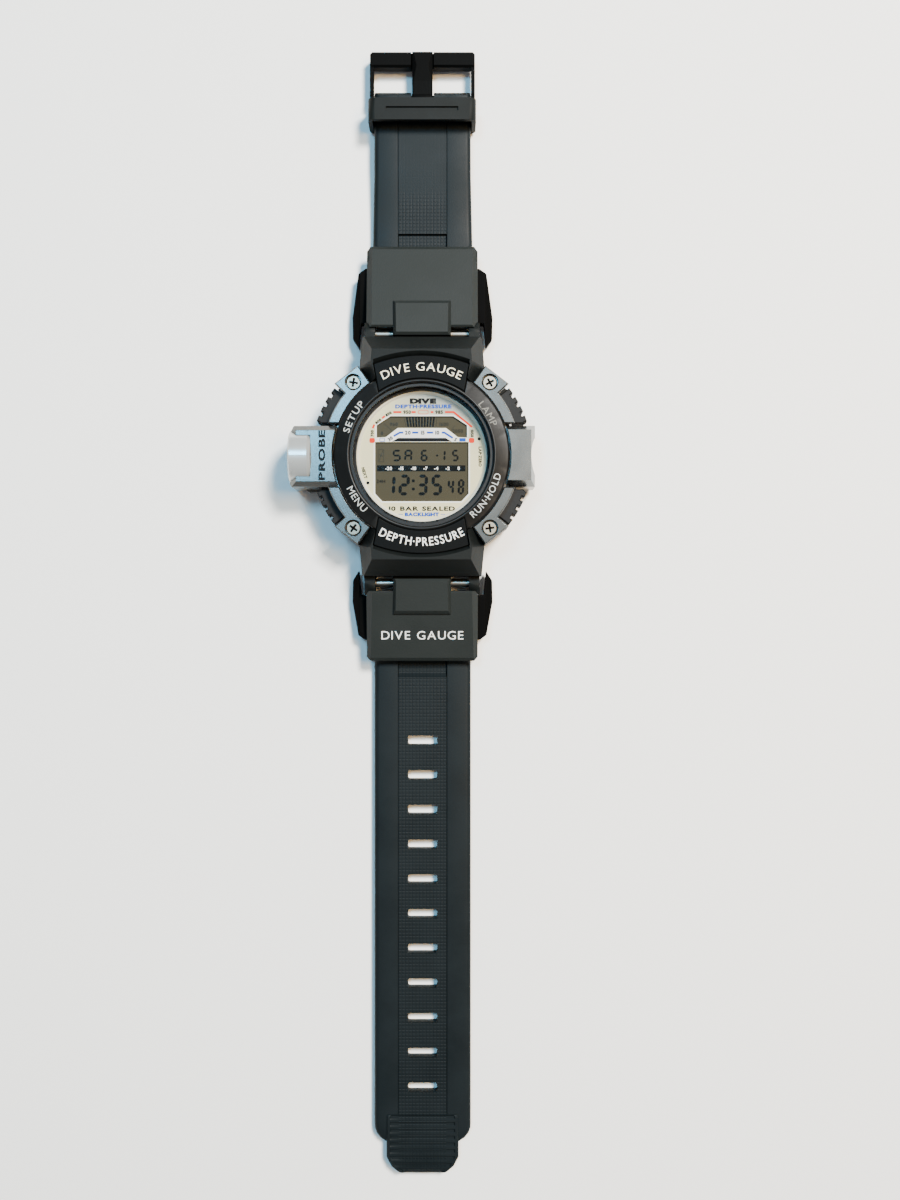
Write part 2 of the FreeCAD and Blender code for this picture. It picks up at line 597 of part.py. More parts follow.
def upper_strap():
    pin = LINKS["12"]["end"] - PIN_TO_LINK_END
    top = UPPER_RAISE + UPPER_THICK
    run = [(UPPER_STEP_START, STRAP_THICK), (UPPER_STEP_END, top), (BUCKLE_Y, top),
           (BUCKLE_Y, UPPER_RAISE), (UPPER_STEP_END, UPPER_RAISE), (UPPER_STEP_START, 0.0)]
    solid = side_prism(strap_barrel_profile(pin, run), (-STRAP_HALF_UPPER, STRAP_HALF_UPPER))
    near = rod(STRAP_BARREL_R, (-STRAP_HALF_UPPER, STRAP_HALF_UPPER), pin, STRAP_PIN_Z)
    far = rod(UPPER_THICK / 2, (-STRAP_HALF_UPPER, STRAP_HALF_UPPER), BUCKLE_Y, BUCKLE_Z)
    plan = prism([(STRAP_HALF_UPPER, 40), (STRAP_HALF_UPPER, 47), (10.9, 64), (10.8, 90),
                  (-10.8, 90), (-10.9, 64), (-STRAP_HALF_UPPER, 47), (-STRAP_HALF_UPPER, 40)], (-1, 10))
    recess = block((-CENTRE_HALF, CENTRE_HALF), (pin + PIN_TO_LINK_END, pin + 6.2), (STRAP_THICK - 0.8, 10))
    tang_room = block((-TANG_HALF - 0.25, TANG_HALF + 0.25), (BUCKLE_Y - 2.4, 90), (0, 10))
    bores = [rod(STRAP_PIN_R + RUNNING, (-FAR, FAR), pin, STRAP_PIN_Z),
             rod(BUCKLE_PIN_R + GAP / 2, (-FAR, FAR), BUCKLE_Y, BUCKLE_Z)]
    return without(joined([solid, near, far]).common(plan), [recess, tang_room] + bores)


def strap_slot(y):
    """Slot with small round corners for the buckle's tang."""
    slot = block((-SLOT_HALF_X, SLOT_HALF_X), (y - SLOT_HALF_Y, y + SLOT_HALF_Y), (-1, 5))
    return slot.makeFillet(SLOT_CORNER, [e for e in slot.Edges if e.BoundBox.ZLength > 1])


def lower_strap():
    """The holed strap, built toward +Y and turned to 6 o'clock when it is saved."""
    pin = LINKS["6"]["end"] - PIN_TO_LINK_END
    half = STRAP_HALF_LOWER
    solid = side_prism(strap_barrel_profile(pin, [(LOWER_END, STRAP_THICK), (LOWER_END, 0.0)]), (-half, half))
    barrel = rod(STRAP_BARREL_R, (-half, half), pin, STRAP_PIN_Z)
    side = [(half, 40), (half, 151.0), (9.9, 153.2), (8.15, 154.0), (8.15, 159.6), (6.4, LOWER_END)]
    plan = prism(side + [(-x, y) for x, y in reversed(side)], (-1, 10))
    recess = block((-CENTRE_HALF, CENTRE_HALF), (pin + PIN_TO_LINK_END, pin + 5.7), (STRAP_THICK - 0.8, 10))
    bore = rod(STRAP_PIN_R + RUNNING, (-FAR, FAR), pin, STRAP_PIN_Z)
    slots = [strap_slot(SLOT_FIRST + step * SLOT_PITCH) for step in range(SLOT_COUNT)]
    return without(joined([solid, barrel]).common(plan), [recess, bore] + slots)


def lengths(solid, splits):
    """Cut a strap across into lengths that bend against each other."""
    edges = [0.0] + splits + [FAR * 4]
    return [solid.common(block((-20, 20), (a + SPLIT_GAP, b - SPLIT_GAP), (-1, 12)))
            for a, b in zip(edges, edges[1:])]


def buckle_frame():
    z = BUCKLE_Z_SPAN
    bar_start = BUCKLE_END_Y - BUCKLE_BAR
    side = joined([
        rod(1.4, (BUCKLE_INNER, BUCKLE_OUTER), BUCKLE_Y, BUCKLE_Z),
        block((BUCKLE_INNER, BUCKLE_OUTER), (BUCKLE_Y, BUCKLE_END_Y - 1.0),
              (BUCKLE_Z - 1.1, BUCKLE_Z + 1.1))])
    bar = prism([(-BUCKLE_OUTER, bar_start), (BUCKLE_OUTER, bar_start), (BUCKLE_OUTER, BUCKLE_END_Y - 0.5),
                 (BUCKLE_OUTER - 0.5, BUCKLE_END_Y), (-BUCKLE_OUTER + 0.5, BUCKLE_END_Y),
                 (-BUCKLE_OUTER, BUCKLE_END_Y - 0.5)], z)
    bar = chamfered(bar, 0.45, at_height(*z))
    seat = block((-TANG_HALF - 0.25, TANG_HALF + 0.25), (bar_start - 1, BUCKLE_END_Y + 1), (3.2, 10))
    bore = rod(BUCKLE_PIN_R + RUNNING, (-FAR, FAR), BUCKLE_Y, BUCKLE_Z)
    return without(joined([bar] + both_x(side)), [seat, bore])


def buckle_tang():
    """Tongue that turns on the buckle pin and lies in the outer bar's notch."""
    barrel = rod(1.5, (-TANG_HALF, TANG_HALF), BUCKLE_Y, BUCKLE_Z)
    blade = side_prism([(BUCKLE_Y, 2.3), (87.0, 2.6), (88.0, 3.35), (91.8, 3.35), (91.8, 3.7), (91.2, 4.7),
                        (88.2, 5.1), (85.0, 4.4), (BUCKLE_Y, 4.2)], (-TANG_HALF, TANG_HALF))
    facet = above(V(TANG_HALF, 84, 4.1), V(TANG_HALF, 91, 4.4), V(TANG_HALF - 1.1, 84, 5.0))
    bore = rod(BUCKLE_PIN_R + RUNNING, (-FAR, FAR), BUCKLE_Y, BUCKLE_Z)
    return without(joined([barrel, blade.cut(facet).cut(flip_x(facet))]), [bore])


def keeper_loop():
    """Loose loop that holds the strap's free end down."""
    outer = block((-KEEPER_HALF, KEEPER_HALF), KEEPER_Y, (0.0, KEEPER_TOP))
    long_edges = [e for e in outer.Edges if e.BoundBox.YLength > 1]
    outer = outer.makeFillet(1.6, long_edges)
    room = KEEPER_HALF - KEEPER_SIDE
    inner = block((-room, room), (0, 100), (KEEPER_WALL, KEEPER_TOP - KEEPER_WALL))
    groove = block((-8.0, 8.0), (76.75, 77.6), (KEEPER_TOP - 0.5, 10))
    return without(outer, [inner, groove])


def export_case():
    save("case_body", case_body())
    save("case_back", case_back())
    save("back_gasket", ring((15.75, 16.45), (BACK_TOP, 1.95)))
    save("back_screws", back_screws())
    plate = bezel_plate()
    save("right_bezel_plate", plate)
    save("left_bezel_plate", flip_x(plate))
    save("bezel_ring", bezel_ring())
    save("top_panel", label_panel())
    save("bottom_panel", flip_y(label_panel()))
    save("bezel_screws", bezel_screws())
    save("sensor_housing", sensor_housing())
    save("sensor_cap", sensor_cap())
    save("pressure_sensor", pressure_sensor())
    save("side_guard", side_guard())


def export_module():
    save("crystal", chamfered(disc(CRYSTAL_R, CRYSTAL_Z), 0.35, at_height(CRYSTAL_Z[1])))
    save("crystal_gasket", crystal_gasket())
    save("inner_ring", ring((14.4, 15.1), (DIAL_Z[1], RING_SEAT)))
    save("dial_plate", dial_plate())
    save("lcd_panel", lcd_panel())
    save("backlight_panel", block((-9.5, 9.5), (-8.0, 7.2), (7.1, 7.5)))
    save("contact_strips", contact_strips())
    save("circuit_board", disc(14.0, BOARD_Z))
    save("module_frame", module_frame())
    save("coin_cell", chamfered(disc(CELL_R, CELL_Z), 0.3, at_height(CELL_Z[0])))
    save("cell_clamp", cell_clamp())
    save("buzzer", disc(6.0, (BACK_TOP, 1.6)))
    save("switch_contacts", switch_contacts())


def export_buttons():
    save("button_seals", button_seals())
    places = ("upper_right", "upper_left", "lower_right", "lower_left")
    for name, piece in {"button_cap": button_cap(), "button_stem": button_stem()}.items():
        for place, copy in zip(places, four(piece)):
            save(f"{name}_{place}", copy)
    for place in places:
        coil = button_spring()
        if place.endswith("left"):
            coil.rotate(V(0, BUTTON_Y, 0), V(0, 0, 1), 180)
        if place.startswith("lower"):
            coil.translate(V(0, -2 * BUTTON_Y, 0))
        save(f"button_spring_{place}", coil)


def export_links():
    for hour, spec in LINKS.items():
        pin = spec["end"] - PIN_TO_LINK_END
        pieces = {
            "lug_pin": rod(LUG_PIN_R, (-LUG_PIN_HALF, LUG_PIN_HALF), LUG_Y, LUG_Z),
            "link": link(spec["start"], spec["end"]),
            "wing": wing(spec["end"]),
            "strap_pin": rod(STRAP_PIN_R, (-12.0, 12.0), pin, STRAP_PIN_Z)}
        for name, piece in pieces.items():
            save(f"{name}_{hour}", piece if spec["side"] > 0 else flip_y(piece))


def export_strap():
    for number, piece in enumerate(lengths(upper_strap(), [UPPER_SPLIT]), 1):
        save(f"upper_strap_{number}", piece)
    for number, piece in enumerate(lengths(lower_strap(), LOWER_SPLITS), 1):
        save(f"lower_strap_{number}", flip_y(piece))
    save("buckle_pin", rod(BUCKLE_PIN_R, (-BUCKLE_OUTER + GAP, BUCKLE_OUTER - GAP), BUCKLE_Y, BUCKLE_Z))
    save("buckle_frame", buckle_frame())
    save("buckle_tang", buckle_tang())
    save("keeper_loop", keeper_loop())


os.makedirs("parts", exist_ok=True)
export_case()
export_module()
export_buttons()
export_links()
export_strap()
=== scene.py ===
# %% [markdown]
# # A wrist dive computer, laid open on its back
# This lesson dresses a finished CAD frame. The hard parts of the instrument, such as the case, the
# side plates and the buttons, come from the frame and only get softened edges and finishes. The strap,
# the printed dial, the display and the lettering are modelled here, because they are what a CAD
# solid leaves plain. Lengths are written in millimetres and become metres when a mesh is finished.

# %% Load the frame
import json
import math
import bpy
import bmesh
from mathutils import Matrix, Vector


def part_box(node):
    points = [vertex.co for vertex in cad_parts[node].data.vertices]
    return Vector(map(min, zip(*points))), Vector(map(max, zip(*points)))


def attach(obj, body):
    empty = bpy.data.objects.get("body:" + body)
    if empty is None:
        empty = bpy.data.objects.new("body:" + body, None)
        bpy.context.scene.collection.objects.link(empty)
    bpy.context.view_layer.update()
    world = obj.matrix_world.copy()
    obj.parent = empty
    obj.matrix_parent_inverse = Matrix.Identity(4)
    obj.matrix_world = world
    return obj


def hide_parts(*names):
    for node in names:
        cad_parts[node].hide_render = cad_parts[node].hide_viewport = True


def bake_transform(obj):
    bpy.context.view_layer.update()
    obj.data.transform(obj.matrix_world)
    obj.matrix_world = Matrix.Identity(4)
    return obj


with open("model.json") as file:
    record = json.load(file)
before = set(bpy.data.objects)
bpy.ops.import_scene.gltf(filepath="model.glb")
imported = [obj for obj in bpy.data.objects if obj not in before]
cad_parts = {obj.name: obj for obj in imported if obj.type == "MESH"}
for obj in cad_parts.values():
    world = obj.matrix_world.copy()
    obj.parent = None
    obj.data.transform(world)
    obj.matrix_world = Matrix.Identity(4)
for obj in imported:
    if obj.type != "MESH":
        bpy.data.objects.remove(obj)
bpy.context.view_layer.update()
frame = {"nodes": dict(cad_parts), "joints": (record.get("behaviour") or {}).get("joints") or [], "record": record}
nodes = frame["nodes"]
MM = 0.001


def box_mm(node):
    """Lowest and highest corner of a CAD node, in millimetres."""
    low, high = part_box(node)
    return [v / MM for v in low], [v / MM for v in high]


# %% [markdown]
# ## Camera, floor and light
# The instrument is seen from straight above, from about 27 centimetres over the table, a little
# towards the slotted end. A lens of 36 mm on a 36 mm frame keeps that perspective: the tall hoods
# lean outwards slightly. One key light comes from the upper right, small enough that slots and
# buckle throw short shadows to the lower left. A cool panel at the upper left and a warm one on the
# right tint the silver plates and the ring, as daylight and lamp light in a room would. One big soft
# light could do for all three, but flat faces would then all have the same tone.

# %% Camera
camera_data = bpy.data.cameras.new("overhead_camera")
camera_data.lens = 36.03
camera_data.sensor_width = 36.0
camera_data.clip_start = 0.01
camera = bpy.data.objects.new("overhead_camera", camera_data)
camera.location = Vector((6.2, -31.6, 274.0)) * MM
bpy.context.scene.collection.objects.link(camera)
bpy.context.scene.camera = camera


# %% Lights
def soft_light(name, place, target, size, power, colour):
    """Square area light aimed at a point; place, target and size in metres."""
    data = bpy.data.lights.new(name, "AREA")
    data.shape = "SQUARE"
    data.size = size
    data.energy = power
    data.color = colour
    lamp = bpy.data.objects.new(name, data)
    lamp.location = place
    lamp.rotation_euler = (Vector(target) - Vector(place)).to_track_quat("-Z", "Y").to_euler()
    bpy.context.scene.collection.objects.link(lamp)
    return lamp


soft_light("key_softbox", (0.36, 0.36, 0.82), (0, -0.03, 0), 0.20, 25.0, (1.0, 0.97, 0.92))
soft_light("cool_panel", (-0.16, 0.20, 0.76), (0, 0, 0), 0.16, 4.0, (0.22, 0.66, 1.0))
soft_light("warm_panel", (0.30, 0.04, 0.66), (0, 0, 0), 0.20, 3.4, (1.0, 0.66, 0.30))
world = bpy.data.worlds.new("studio_walls")
world.use_nodes = True
world.node_tree.nodes["Background"].inputs["Color"].default_value = (0.90, 0.93, 0.98, 1)
world.node_tree.nodes["Background"].inputs["Strength"].default_value = 0.24
bpy.context.scene.world = world
print("lights", [(lamp.name, round(lamp.energy, 1)) for lamp in bpy.data.lights])

# %% [markdown]
# ## How the finishes are made
# Each finish starts as a Principled shader with the values of the real material. A small function
# adds one node with its settings and its links, and everything else is said where it is used.
# Patterns read Object coordinates in metres, so a noise scale is one over the real grain size.
# Image textures would need flattened pieces, and patterns made of nodes need none.

# %% Finish helpers
def linear(code):
    """sRGB hex colour as linear RGBA."""
    parts = [int(code[i:i + 2], 16) / 255 for i in (1, 3, 5)]
    return tuple(c / 12.92 if c <= 0.04045 else ((c + 0.055) / 1.055) ** 2.4 for c in parts) + (1.0,)


def add(tree, kind, inputs=(), **settings):
    """One shader node: settings are its properties, inputs its sockets, each a value or a link."""
    node = tree.nodes.new(kind)
    for key, value in settings.items():
        setattr(node, key, value)
    for key, value in dict(inputs).items():
        if isinstance(value, bpy.types.NodeSocket):
            tree.links.new(value, node.inputs[key])
        else:
            node.inputs[key].default_value = value
    return node


def new_finish(name, colour, roughness, metallic=0.0):
    """Material, its node tree and its Principled shader."""
    material = bpy.data.materials.new(name)
    material.use_nodes = True
    shader = material.node_tree.nodes["Principled BSDF"]
    shader.inputs["Base Color"].default_value = linear(colour)
    shader.inputs["Roughness"].default_value = roughness
    shader.inputs["Metallic"].default_value = metallic
    material.diffuse_color = linear(colour)
    return material, material.node_tree, shader


def moulded(name, colour, lighter, roughness, grain_mm, bump, shine=0.22):
    """Moulded plastic: fine spark-eroded grain and faint handling marks."""
    material, tree, shader = new_finish(name, colour, roughness)
    shader.inputs["Specular IOR Level"].default_value = shine
    place = add(tree, "ShaderNodeTexCoord").outputs["Object"]
    grain = add(tree, "ShaderNodeTexNoise", {"Vector": place, "Scale": 1 / (grain_mm * MM), "Detail": 3.0})
    marks = add(tree, "ShaderNodeTexNoise", {"Vector": place, "Scale": 1 / (9 * MM), "Detail": 5.0,
                                             "Roughness": 0.6})
    tint = add(tree, "ShaderNodeMix", {"Factor": marks.outputs["Fac"], "A": linear(colour),
                                       "B": linear(lighter)}, data_type="RGBA")
    tree.links.new(tint.outputs["Result"], shader.inputs["Base Color"])
    gloss = add(tree, "ShaderNodeMapRange", {"Value": marks.outputs["Fac"], "From Min": 0.3,
                                             "From Max": 0.7, "To Min": roughness - 0.05,
                                             "To Max": roughness + 0.06})
    tree.links.new(gloss.outputs["Result"], shader.inputs["Roughness"])
    relief = add(tree, "ShaderNodeBump", {"Height": grain.outputs["Fac"], "Strength": bump,
                                          "Distance": grain_mm * MM * 0.25})
    tree.links.new(relief.outputs["Normal"], shader.inputs["Normal"])
    return material


# %% [markdown]
# ## The finishes
# The case, links and buckle are glass-filled resin with a spark-eroded grain of about a tenth of a
# millimetre, which scatters light softly. The grain is drawn at 0.2 to 0.3 mm, coarser than life, so
# that it shows. Each resin piece has its own black, because hands polish the links and the buckle
# stays matt. The wings' near-pure black is partly their own rubber and partly painted shade from the
# parts above them. The bezel ring is smoother and catches the warm light on its right side. The plates
# and the sensor block are painted a satin silver whose metal flakes give a fine sparkle; the sensor
# barrel's paler copy of it is painted light on its round side.

# %% Resins and rubbers
case_resin = moulded("case_resin_spark_eroded", "#0a0d0d", "#111413", 0.54, 0.22, 0.5, shine=0.11)
link_resin = moulded("link_resin_spark_eroded", "#151918", "#1d2120", 0.56, 0.25, 0.6, shine=0.16)
panel_resin = moulded("label_panel_resin", "#050606", "#090a0a", 0.45, 0.25, 0.35, shine=0.05)
# The wings' near-pure black is partly their own rubber and partly painted shade from the parts above them.
wing_rubber_and_shade = moulded("wing_polyurethane_and_painted_shade", "#020202", "#040404", 0.6, 0.3, 0.4, shine=0.03)
button_rubber = moulded("button_rubber", "#070809", "#0c0d0e", 0.6, 0.3, 0.5)
buckle_resin = moulded("buckle_resin", "#040505", "#080808", 0.55, 0.25, 0.5, shine=0.03)
ring_resin = moulded("bezel_ring_resin", "#090a0a", "#0f0f0e", 0.4, 0.2, 0.3, shine=0.24)
seal_rubber = moulded("seal_rubber", "#08090a", "#0d0e0f", 0.45, 0.4, 0.2)
frame_resin = moulded("module_frame_resin", "#1c1c1c", "#262626", 0.5, 0.3, 0.4)


# %% Silver paint
def silver_paint(name, light, dark, metallic):
    """Satin silver lacquer: faint waviness and flakes, drawn coarser than life so that they show."""
    material, tree, shader = new_finish(name, light, 0.3, metallic)
    place = add(tree, "ShaderNodeTexCoord").outputs["Object"]
    flake = add(tree, "ShaderNodeTexVoronoi", {"Vector": place, "Scale": 1 / (0.14 * MM)})
    tone = add(tree, "ShaderNodeMapRange", {"Value": flake.outputs["Distance"], "To Min": 0.0,
                                            "To Max": 0.5})
    tint = add(tree, "ShaderNodeMix", {"Factor": tone.outputs["Result"], "A": linear(light),
                                       "B": linear(dark)}, data_type="RGBA")
    tree.links.new(tint.outputs["Result"], shader.inputs["Base Color"])
    wave = add(tree, "ShaderNodeTexNoise", {"Vector": place, "Scale": 1 / (4 * MM), "Detail": 2.0})
    gloss = add(tree, "ShaderNodeMapRange", {"Value": wave.outputs["Fac"], "To Min": 0.22, "To Max": 0.30})
    tree.links.new(gloss.outputs["Result"], shader.inputs["Roughness"])
    relief = add(tree, "ShaderNodeBump", {"Height": flake.outputs["Distance"], "Strength": 0.05,
                                          "Distance": 0.01 * MM})
    tree.links.new(relief.outputs["Normal"], shader.inputs["Normal"])
    return material


silver = silver_paint("silver_lacquer_satin", "#6e6f6d", "#5b5c5a", 0.9)
# The barrel gets a paler, less metallic copy of the same silver lacquer: painted light that keeps its round side
# bright.
barrel_silver_painted_light = silver_paint("barrel_lacquer_painted_light", "#bcc0bf", "#a9adac", 0.5)


# %% Steels, brass, glass and the small electrical finishes
def machined(name, colour, roughness, pitch_mm, along):
    """Bare metal with fine tool lines across one axis."""
    material, tree, shader = new_finish(name, colour, roughness, 1.0)
    place = add(tree, "ShaderNodeTexCoord").outputs["Object"]
    lie = add(tree, "ShaderNodeMapping", {"Vector": place, "Scale": along})
    lines = add(tree, "ShaderNodeTexNoise", {"Vector": lie.outputs["Vector"], "Scale": 1 / (pitch_mm * MM),
                                             "Detail": 4.0})
    gloss = add(tree, "ShaderNodeMapRange", {"Value": lines.outputs["Fac"], "To Min": roughness - 0.08,
                                             "To Max": roughness + 0.12})
    tree.links.new(gloss.outputs["Result"], shader.inputs["Roughness"])
    relief = add(tree, "ShaderNodeBump", {"Height": lines.outputs["Fac"], "Strength": 0.25,
                                          "Distance": 0.01 * MM})
    tree.links.new(relief.outputs["Normal"], shader.inputs["Normal"])
    return material


screw_steel = machined("screw_steel_turned", "#8f887a", 0.34, 0.12, (1.0, 1.0, 1.0))
# The bezel screws are the same steel, painted dark below a height as painted shade in their cross recesses.
RECESS_SHADE_TOP = (11.45, 11.6)          # the painted shade fades out between these heights over the case back
bezel_steel = machined("bezel_screw_steel", "#8f887a", 0.34, 0.12, (1.0, 1.0, 1.0))
bezel_tree = bezel_steel.node_tree
place = add(bezel_tree, "ShaderNodeTexCoord").outputs["Object"]
depth = add(bezel_tree, "ShaderNodeSeparateXYZ", {"Vector": place})
shade_fade = add(bezel_tree, "ShaderNodeMapRange", {"Value": depth.outputs["Z"], "From Min": RECESS_SHADE_TOP[0] * MM,
                                               "From Max": RECESS_SHADE_TOP[1] * MM})
# painted shade: near-black steel colour below the fade height, standing in for shade in the cross recesses
recess_shade_tint = add(bezel_tree, "ShaderNodeMix", {"Factor": shade_fade.outputs["Result"], "A": linear("#0b0a09"),
                                         "B": linear("#8f887a")}, data_type="RGBA")
bezel_tree.links.new(recess_shade_tint.outputs["Result"], bezel_tree.nodes["Principled BSDF"].inputs["Base Color"])
back_steel = machined("case_back_steel_brushed", "#b2b4b6", 0.34, 0.1, (0.06, 1.0, 1.0))
pin_steel = machined("pin_steel_drawn", "#b0aca2", 0.3, 0.1, (0.1, 1.0, 1.0))
cell_steel = machined("cell_steel_pressed", "#c0c2c4", 0.28, 0.15, (1.0, 1.0, 1.0))
contact_brass = machined("contact_brass_plated", "#c9a55a", 0.3, 0.12, (1.0, 1.0, 1.0))
print("metals", [m.name for m in bpy.data.materials if "steel" in m.name or "brass" in m.name])


# %% [markdown]
# ## The dial side
# The crystal is clear mineral glass, so little of it shows but its bevel and a soft gloss. Real
# refraction would blur the print at few samples, so the glass is mostly see-through instead. The dial
# is printed on a silvered plate: a cream-silver lacquer with a fine pearl. A dark reflection at its
# upper right is painted into the lacquer's colour. The display is a twisted-nematic LCD with a
# grey-beige reflector.

# %% Dial finishes
def dial_lacquer():
    """Pearl cream lacquer on the dial plate; a painted dark reflection turns it cool grey towards its upper edge.
    """
    material, tree, shader = new_finish("dial_lacquer_and_painted_reflection", "#d6d5cc", 0.42)
    shader.inputs["Specular IOR Level"].default_value = 0.2
    place = add(tree, "ShaderNodeTexCoord").outputs["Object"]
    pearl = add(tree, "ShaderNodeTexNoise", {"Vector": place, "Scale": 1 / (0.12 * MM), "Detail": 2.0})
    # Painted reflection: the colour turns grey-blue towards the upper right, standing in for a dark reflection.
    axis = add(tree, "ShaderNodeVectorMath", {0: place, 1: (0.42, 0.91, 0.0)}, operation="DOT_PRODUCT")
    height = add(tree, "ShaderNodeMapRange", {"Value": axis.outputs["Value"], "From Min": 4 * MM,
                                              "From Max": 16 * MM}, interpolation_type="SMOOTHSTEP")
    painted_reflection = add(tree, "ShaderNodeMix", {"Factor": height.outputs["Result"], "A": linear("#dbd3a4"),
                                        "B": linear("#76838b")}, data_type="RGBA")
    little = add(tree, "ShaderNodeMath", {0: pearl.outputs["Fac"], 1: 0.25}, operation="MULTIPLY")
    grain = add(tree, "ShaderNodeMix", {"Factor": little.outputs[0], "A": painted_reflection.outputs["Result"],
                                        "B": linear("#c9c7b4")}, data_type="RGBA")
    tree.links.new(grain.outputs["Result"], shader.inputs["Base Color"])
    return material


def lcd_ground():
    """LCD reflector: fine speckle under a polariser."""
    material, tree, shader = new_finish("lcd_reflector", "#3c3829", 0.4)
    shader.inputs["Specular IOR Level"].default_value = 0.1
    place = add(tree, "ShaderNodeTexCoord").outputs["Object"]
    speckle = add(tree, "ShaderNodeTexNoise", {"Vector": place, "Scale": 1 / (0.1 * MM), "Detail": 3.0})
    tint = add(tree, "ShaderNodeMix", {"Factor": speckle.outputs["Fac"], "A": linear("#343022"),
                                       "B": linear("#443f2e")}, data_type="RGBA")
    tree.links.new(tint.outputs["Result"], shader.inputs["Base Color"])
    return material


def printed(name, colour, roughness=0.45):
    """Pad-printed ink: matt, slightly uneven in gloss."""
    material, tree, shader = new_finish(name, colour, roughness)
    shader.inputs["Specular IOR Level"].default_value = 0.1
    place = add(tree, "ShaderNodeTexCoord").outputs["Object"]
    cover = add(tree, "ShaderNodeTexNoise", {"Vector": place, "Scale": 1 / (0.3 * MM), "Detail": 2.0})
    gloss = add(tree, "ShaderNodeMapRange", {"Value": cover.outputs["Fac"], "To Min": roughness - 0.08,
                                             "To Max": roughness + 0.08})
    tree.links.new(gloss.outputs["Result"], shader.inputs["Roughness"])
    return material


def clear_glass():
    """Flat mineral crystal, almost all see-through."""
    material, tree, shader = new_finish("mineral_crystal", "#060708", 0.03)
    shader.inputs["Alpha"].default_value = 0.05
    shader.inputs["IOR"].default_value = 1.52
    return material


dial_finish = dial_lacquer()
lcd_finish = lcd_ground()
glass = clear_glass()
ink_white = printed("ink_white", "#e9e9e4")
ink_cream = printed("ink_cream", "#e6dfc8")
rim_lacquer = printed("dial_rim_lacquer", "#ddd9c6", 0.35)
ink_black = printed("ink_black", "#050506")
ink_grey = printed("ink_grey", "#6e6d67")
ring_ink = printed("ring_ink", "#b4b8b6")
ink_blue = printed("ink_blue", "#1248a8")
ink_orange = printed("ink_orange", "#d8300f")
lcd_ink = printed("lcd_segment", "#050604", 0.3)
ghost_ink = printed("lcd_ghost", "#2a2820", 0.3)
board_lacquer = printed("board_solder_mask", "#14532d", 0.35)
backlight_film = printed("backlight_film", "#b8d8cc", 0.4)

# %% [markdown]
# ## Dressing the CAD nodes
# Each node keeps its exact shape. Its loose triangles are welded and flat areas joined, and a narrow
# bevel rounds the arrises, because a moulded or painted edge is never a knife edge and the bright
# line along it is what makes it look real.

# %% Finishes for the frame's own nodes
FINISH_OF_SLOT = {
    "black_resin": case_resin, "back_steel": back_steel, "seal_rubber": seal_rubber,
    "screw_steel": screw_steel, "silver_plate": silver, "panel_black": panel_resin,
    "sensor_steel": back_steel, "mineral_glass": glass, "dial_cream": dial_finish,
    "lcd_glass": lcd_finish,
    "backlight": backlight_film, "board_green": board_lacquer, "frame_plastic": frame_resin,
    "cell_steel": cell_steel, "buzzer_brass": contact_brass, "button_rubber": button_rubber,
    "pin_steel": pin_steel, "link_resin": link_resin, "wing_resin": wing_rubber_and_shade,
    "strap_resin": wing_rubber_and_shade, "buckle_resin": buckle_resin}

for part in frame["record"]["subparts"]:
    mesh = nodes[part["node"]].data
    mesh.materials.clear()
    mesh.materials.append(FINISH_OF_SLOT[part["material_slot"]])
# Four nodes share a slot with others but get a finish of their own. The sensor cap's paler silver is painted
# light, and the bezel screws carry painted shade in their recesses.
for node_name, finish in (("bezel_screws", bezel_steel), ("bezel_ring", ring_resin),
                          ("sensor_cap", barrel_silver_painted_light), ("keeper_loop", case_resin)):
    nodes[node_name].data.materials[0] = finish


def soften(name, width_mm, segments=2, angle=32):
    """Round a CAD node's edges without touching its mesh."""
    obj = nodes[name]
    weld = obj.modifiers.new("weld", "WELD")
    weld.merge_threshold = 0.002 * MM
    flat = obj.modifiers.new("join_flats", "DECIMATE")
    flat.decimate_type = "DISSOLVE"
    flat.angle_limit = math.radians(1.0)
    bevel = obj.modifiers.new("edge_round", "BEVEL")
    bevel.width = width_mm * MM
    bevel.segments = segments
    bevel.limit_method = "ANGLE"
    bevel.angle_limit = math.radians(angle)
    bevel.harden_normals = True
    bevel.miter_outer = "MITER_ARC"


EDGE_ROUND = {
    "case_body": 0.18, "link_12": 0.55, "link_6": 0.55, "wing_12": 0.5, "wing_6": 0.5,
    "bezel_ring": 0.1, "left_bezel_plate": 0.1, "right_bezel_plate": 0.1, "sensor_housing": 0.25,
    "side_guard": 0.25, "keeper_loop": 0.3, "buckle_frame": 0.2, "buckle_tang": 0.2,
    "top_panel": 0.08, "bottom_panel": 0.08}
for node_name, width in EDGE_ROUND.items():
    soften(node_name, width)
for cap in [n for n in nodes if n.startswith("button_cap")]:
    soften(cap, 0.14)
print("softened", len([n for n in nodes if nodes[n].modifiers]), "of", len(nodes), "nodes")


# %% [markdown]
# ## Building pieces
# A piece starts as a bmesh in millimetres. One function scales it to metres, gives it its finish
# and lets it ride on its body.

# %% Piece helpers
def finished(name, bm, finish, body=None, stands_for=(), smooth=40):
    """Turn a bmesh in millimetres into a piece of the object."""
    bmesh.ops.recalc_face_normals(bm, faces=bm.faces)
    bm.transform(Matrix.Scale(MM, 4))
    mesh = bpy.data.meshes.new(name)
    bm.to_mesh(mesh)
    bm.free()
    mesh.materials.append(finish)
    mesh.shade_smooth()
    mesh.set_sharp_from_angle(angle=math.radians(smooth))
    obj = bpy.data.objects.new(name, mesh)
    bpy.context.scene.collection.objects.link(obj)
    if body:
        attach(obj, body)
    if stands_for:
        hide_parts(*stands_for)
    return obj


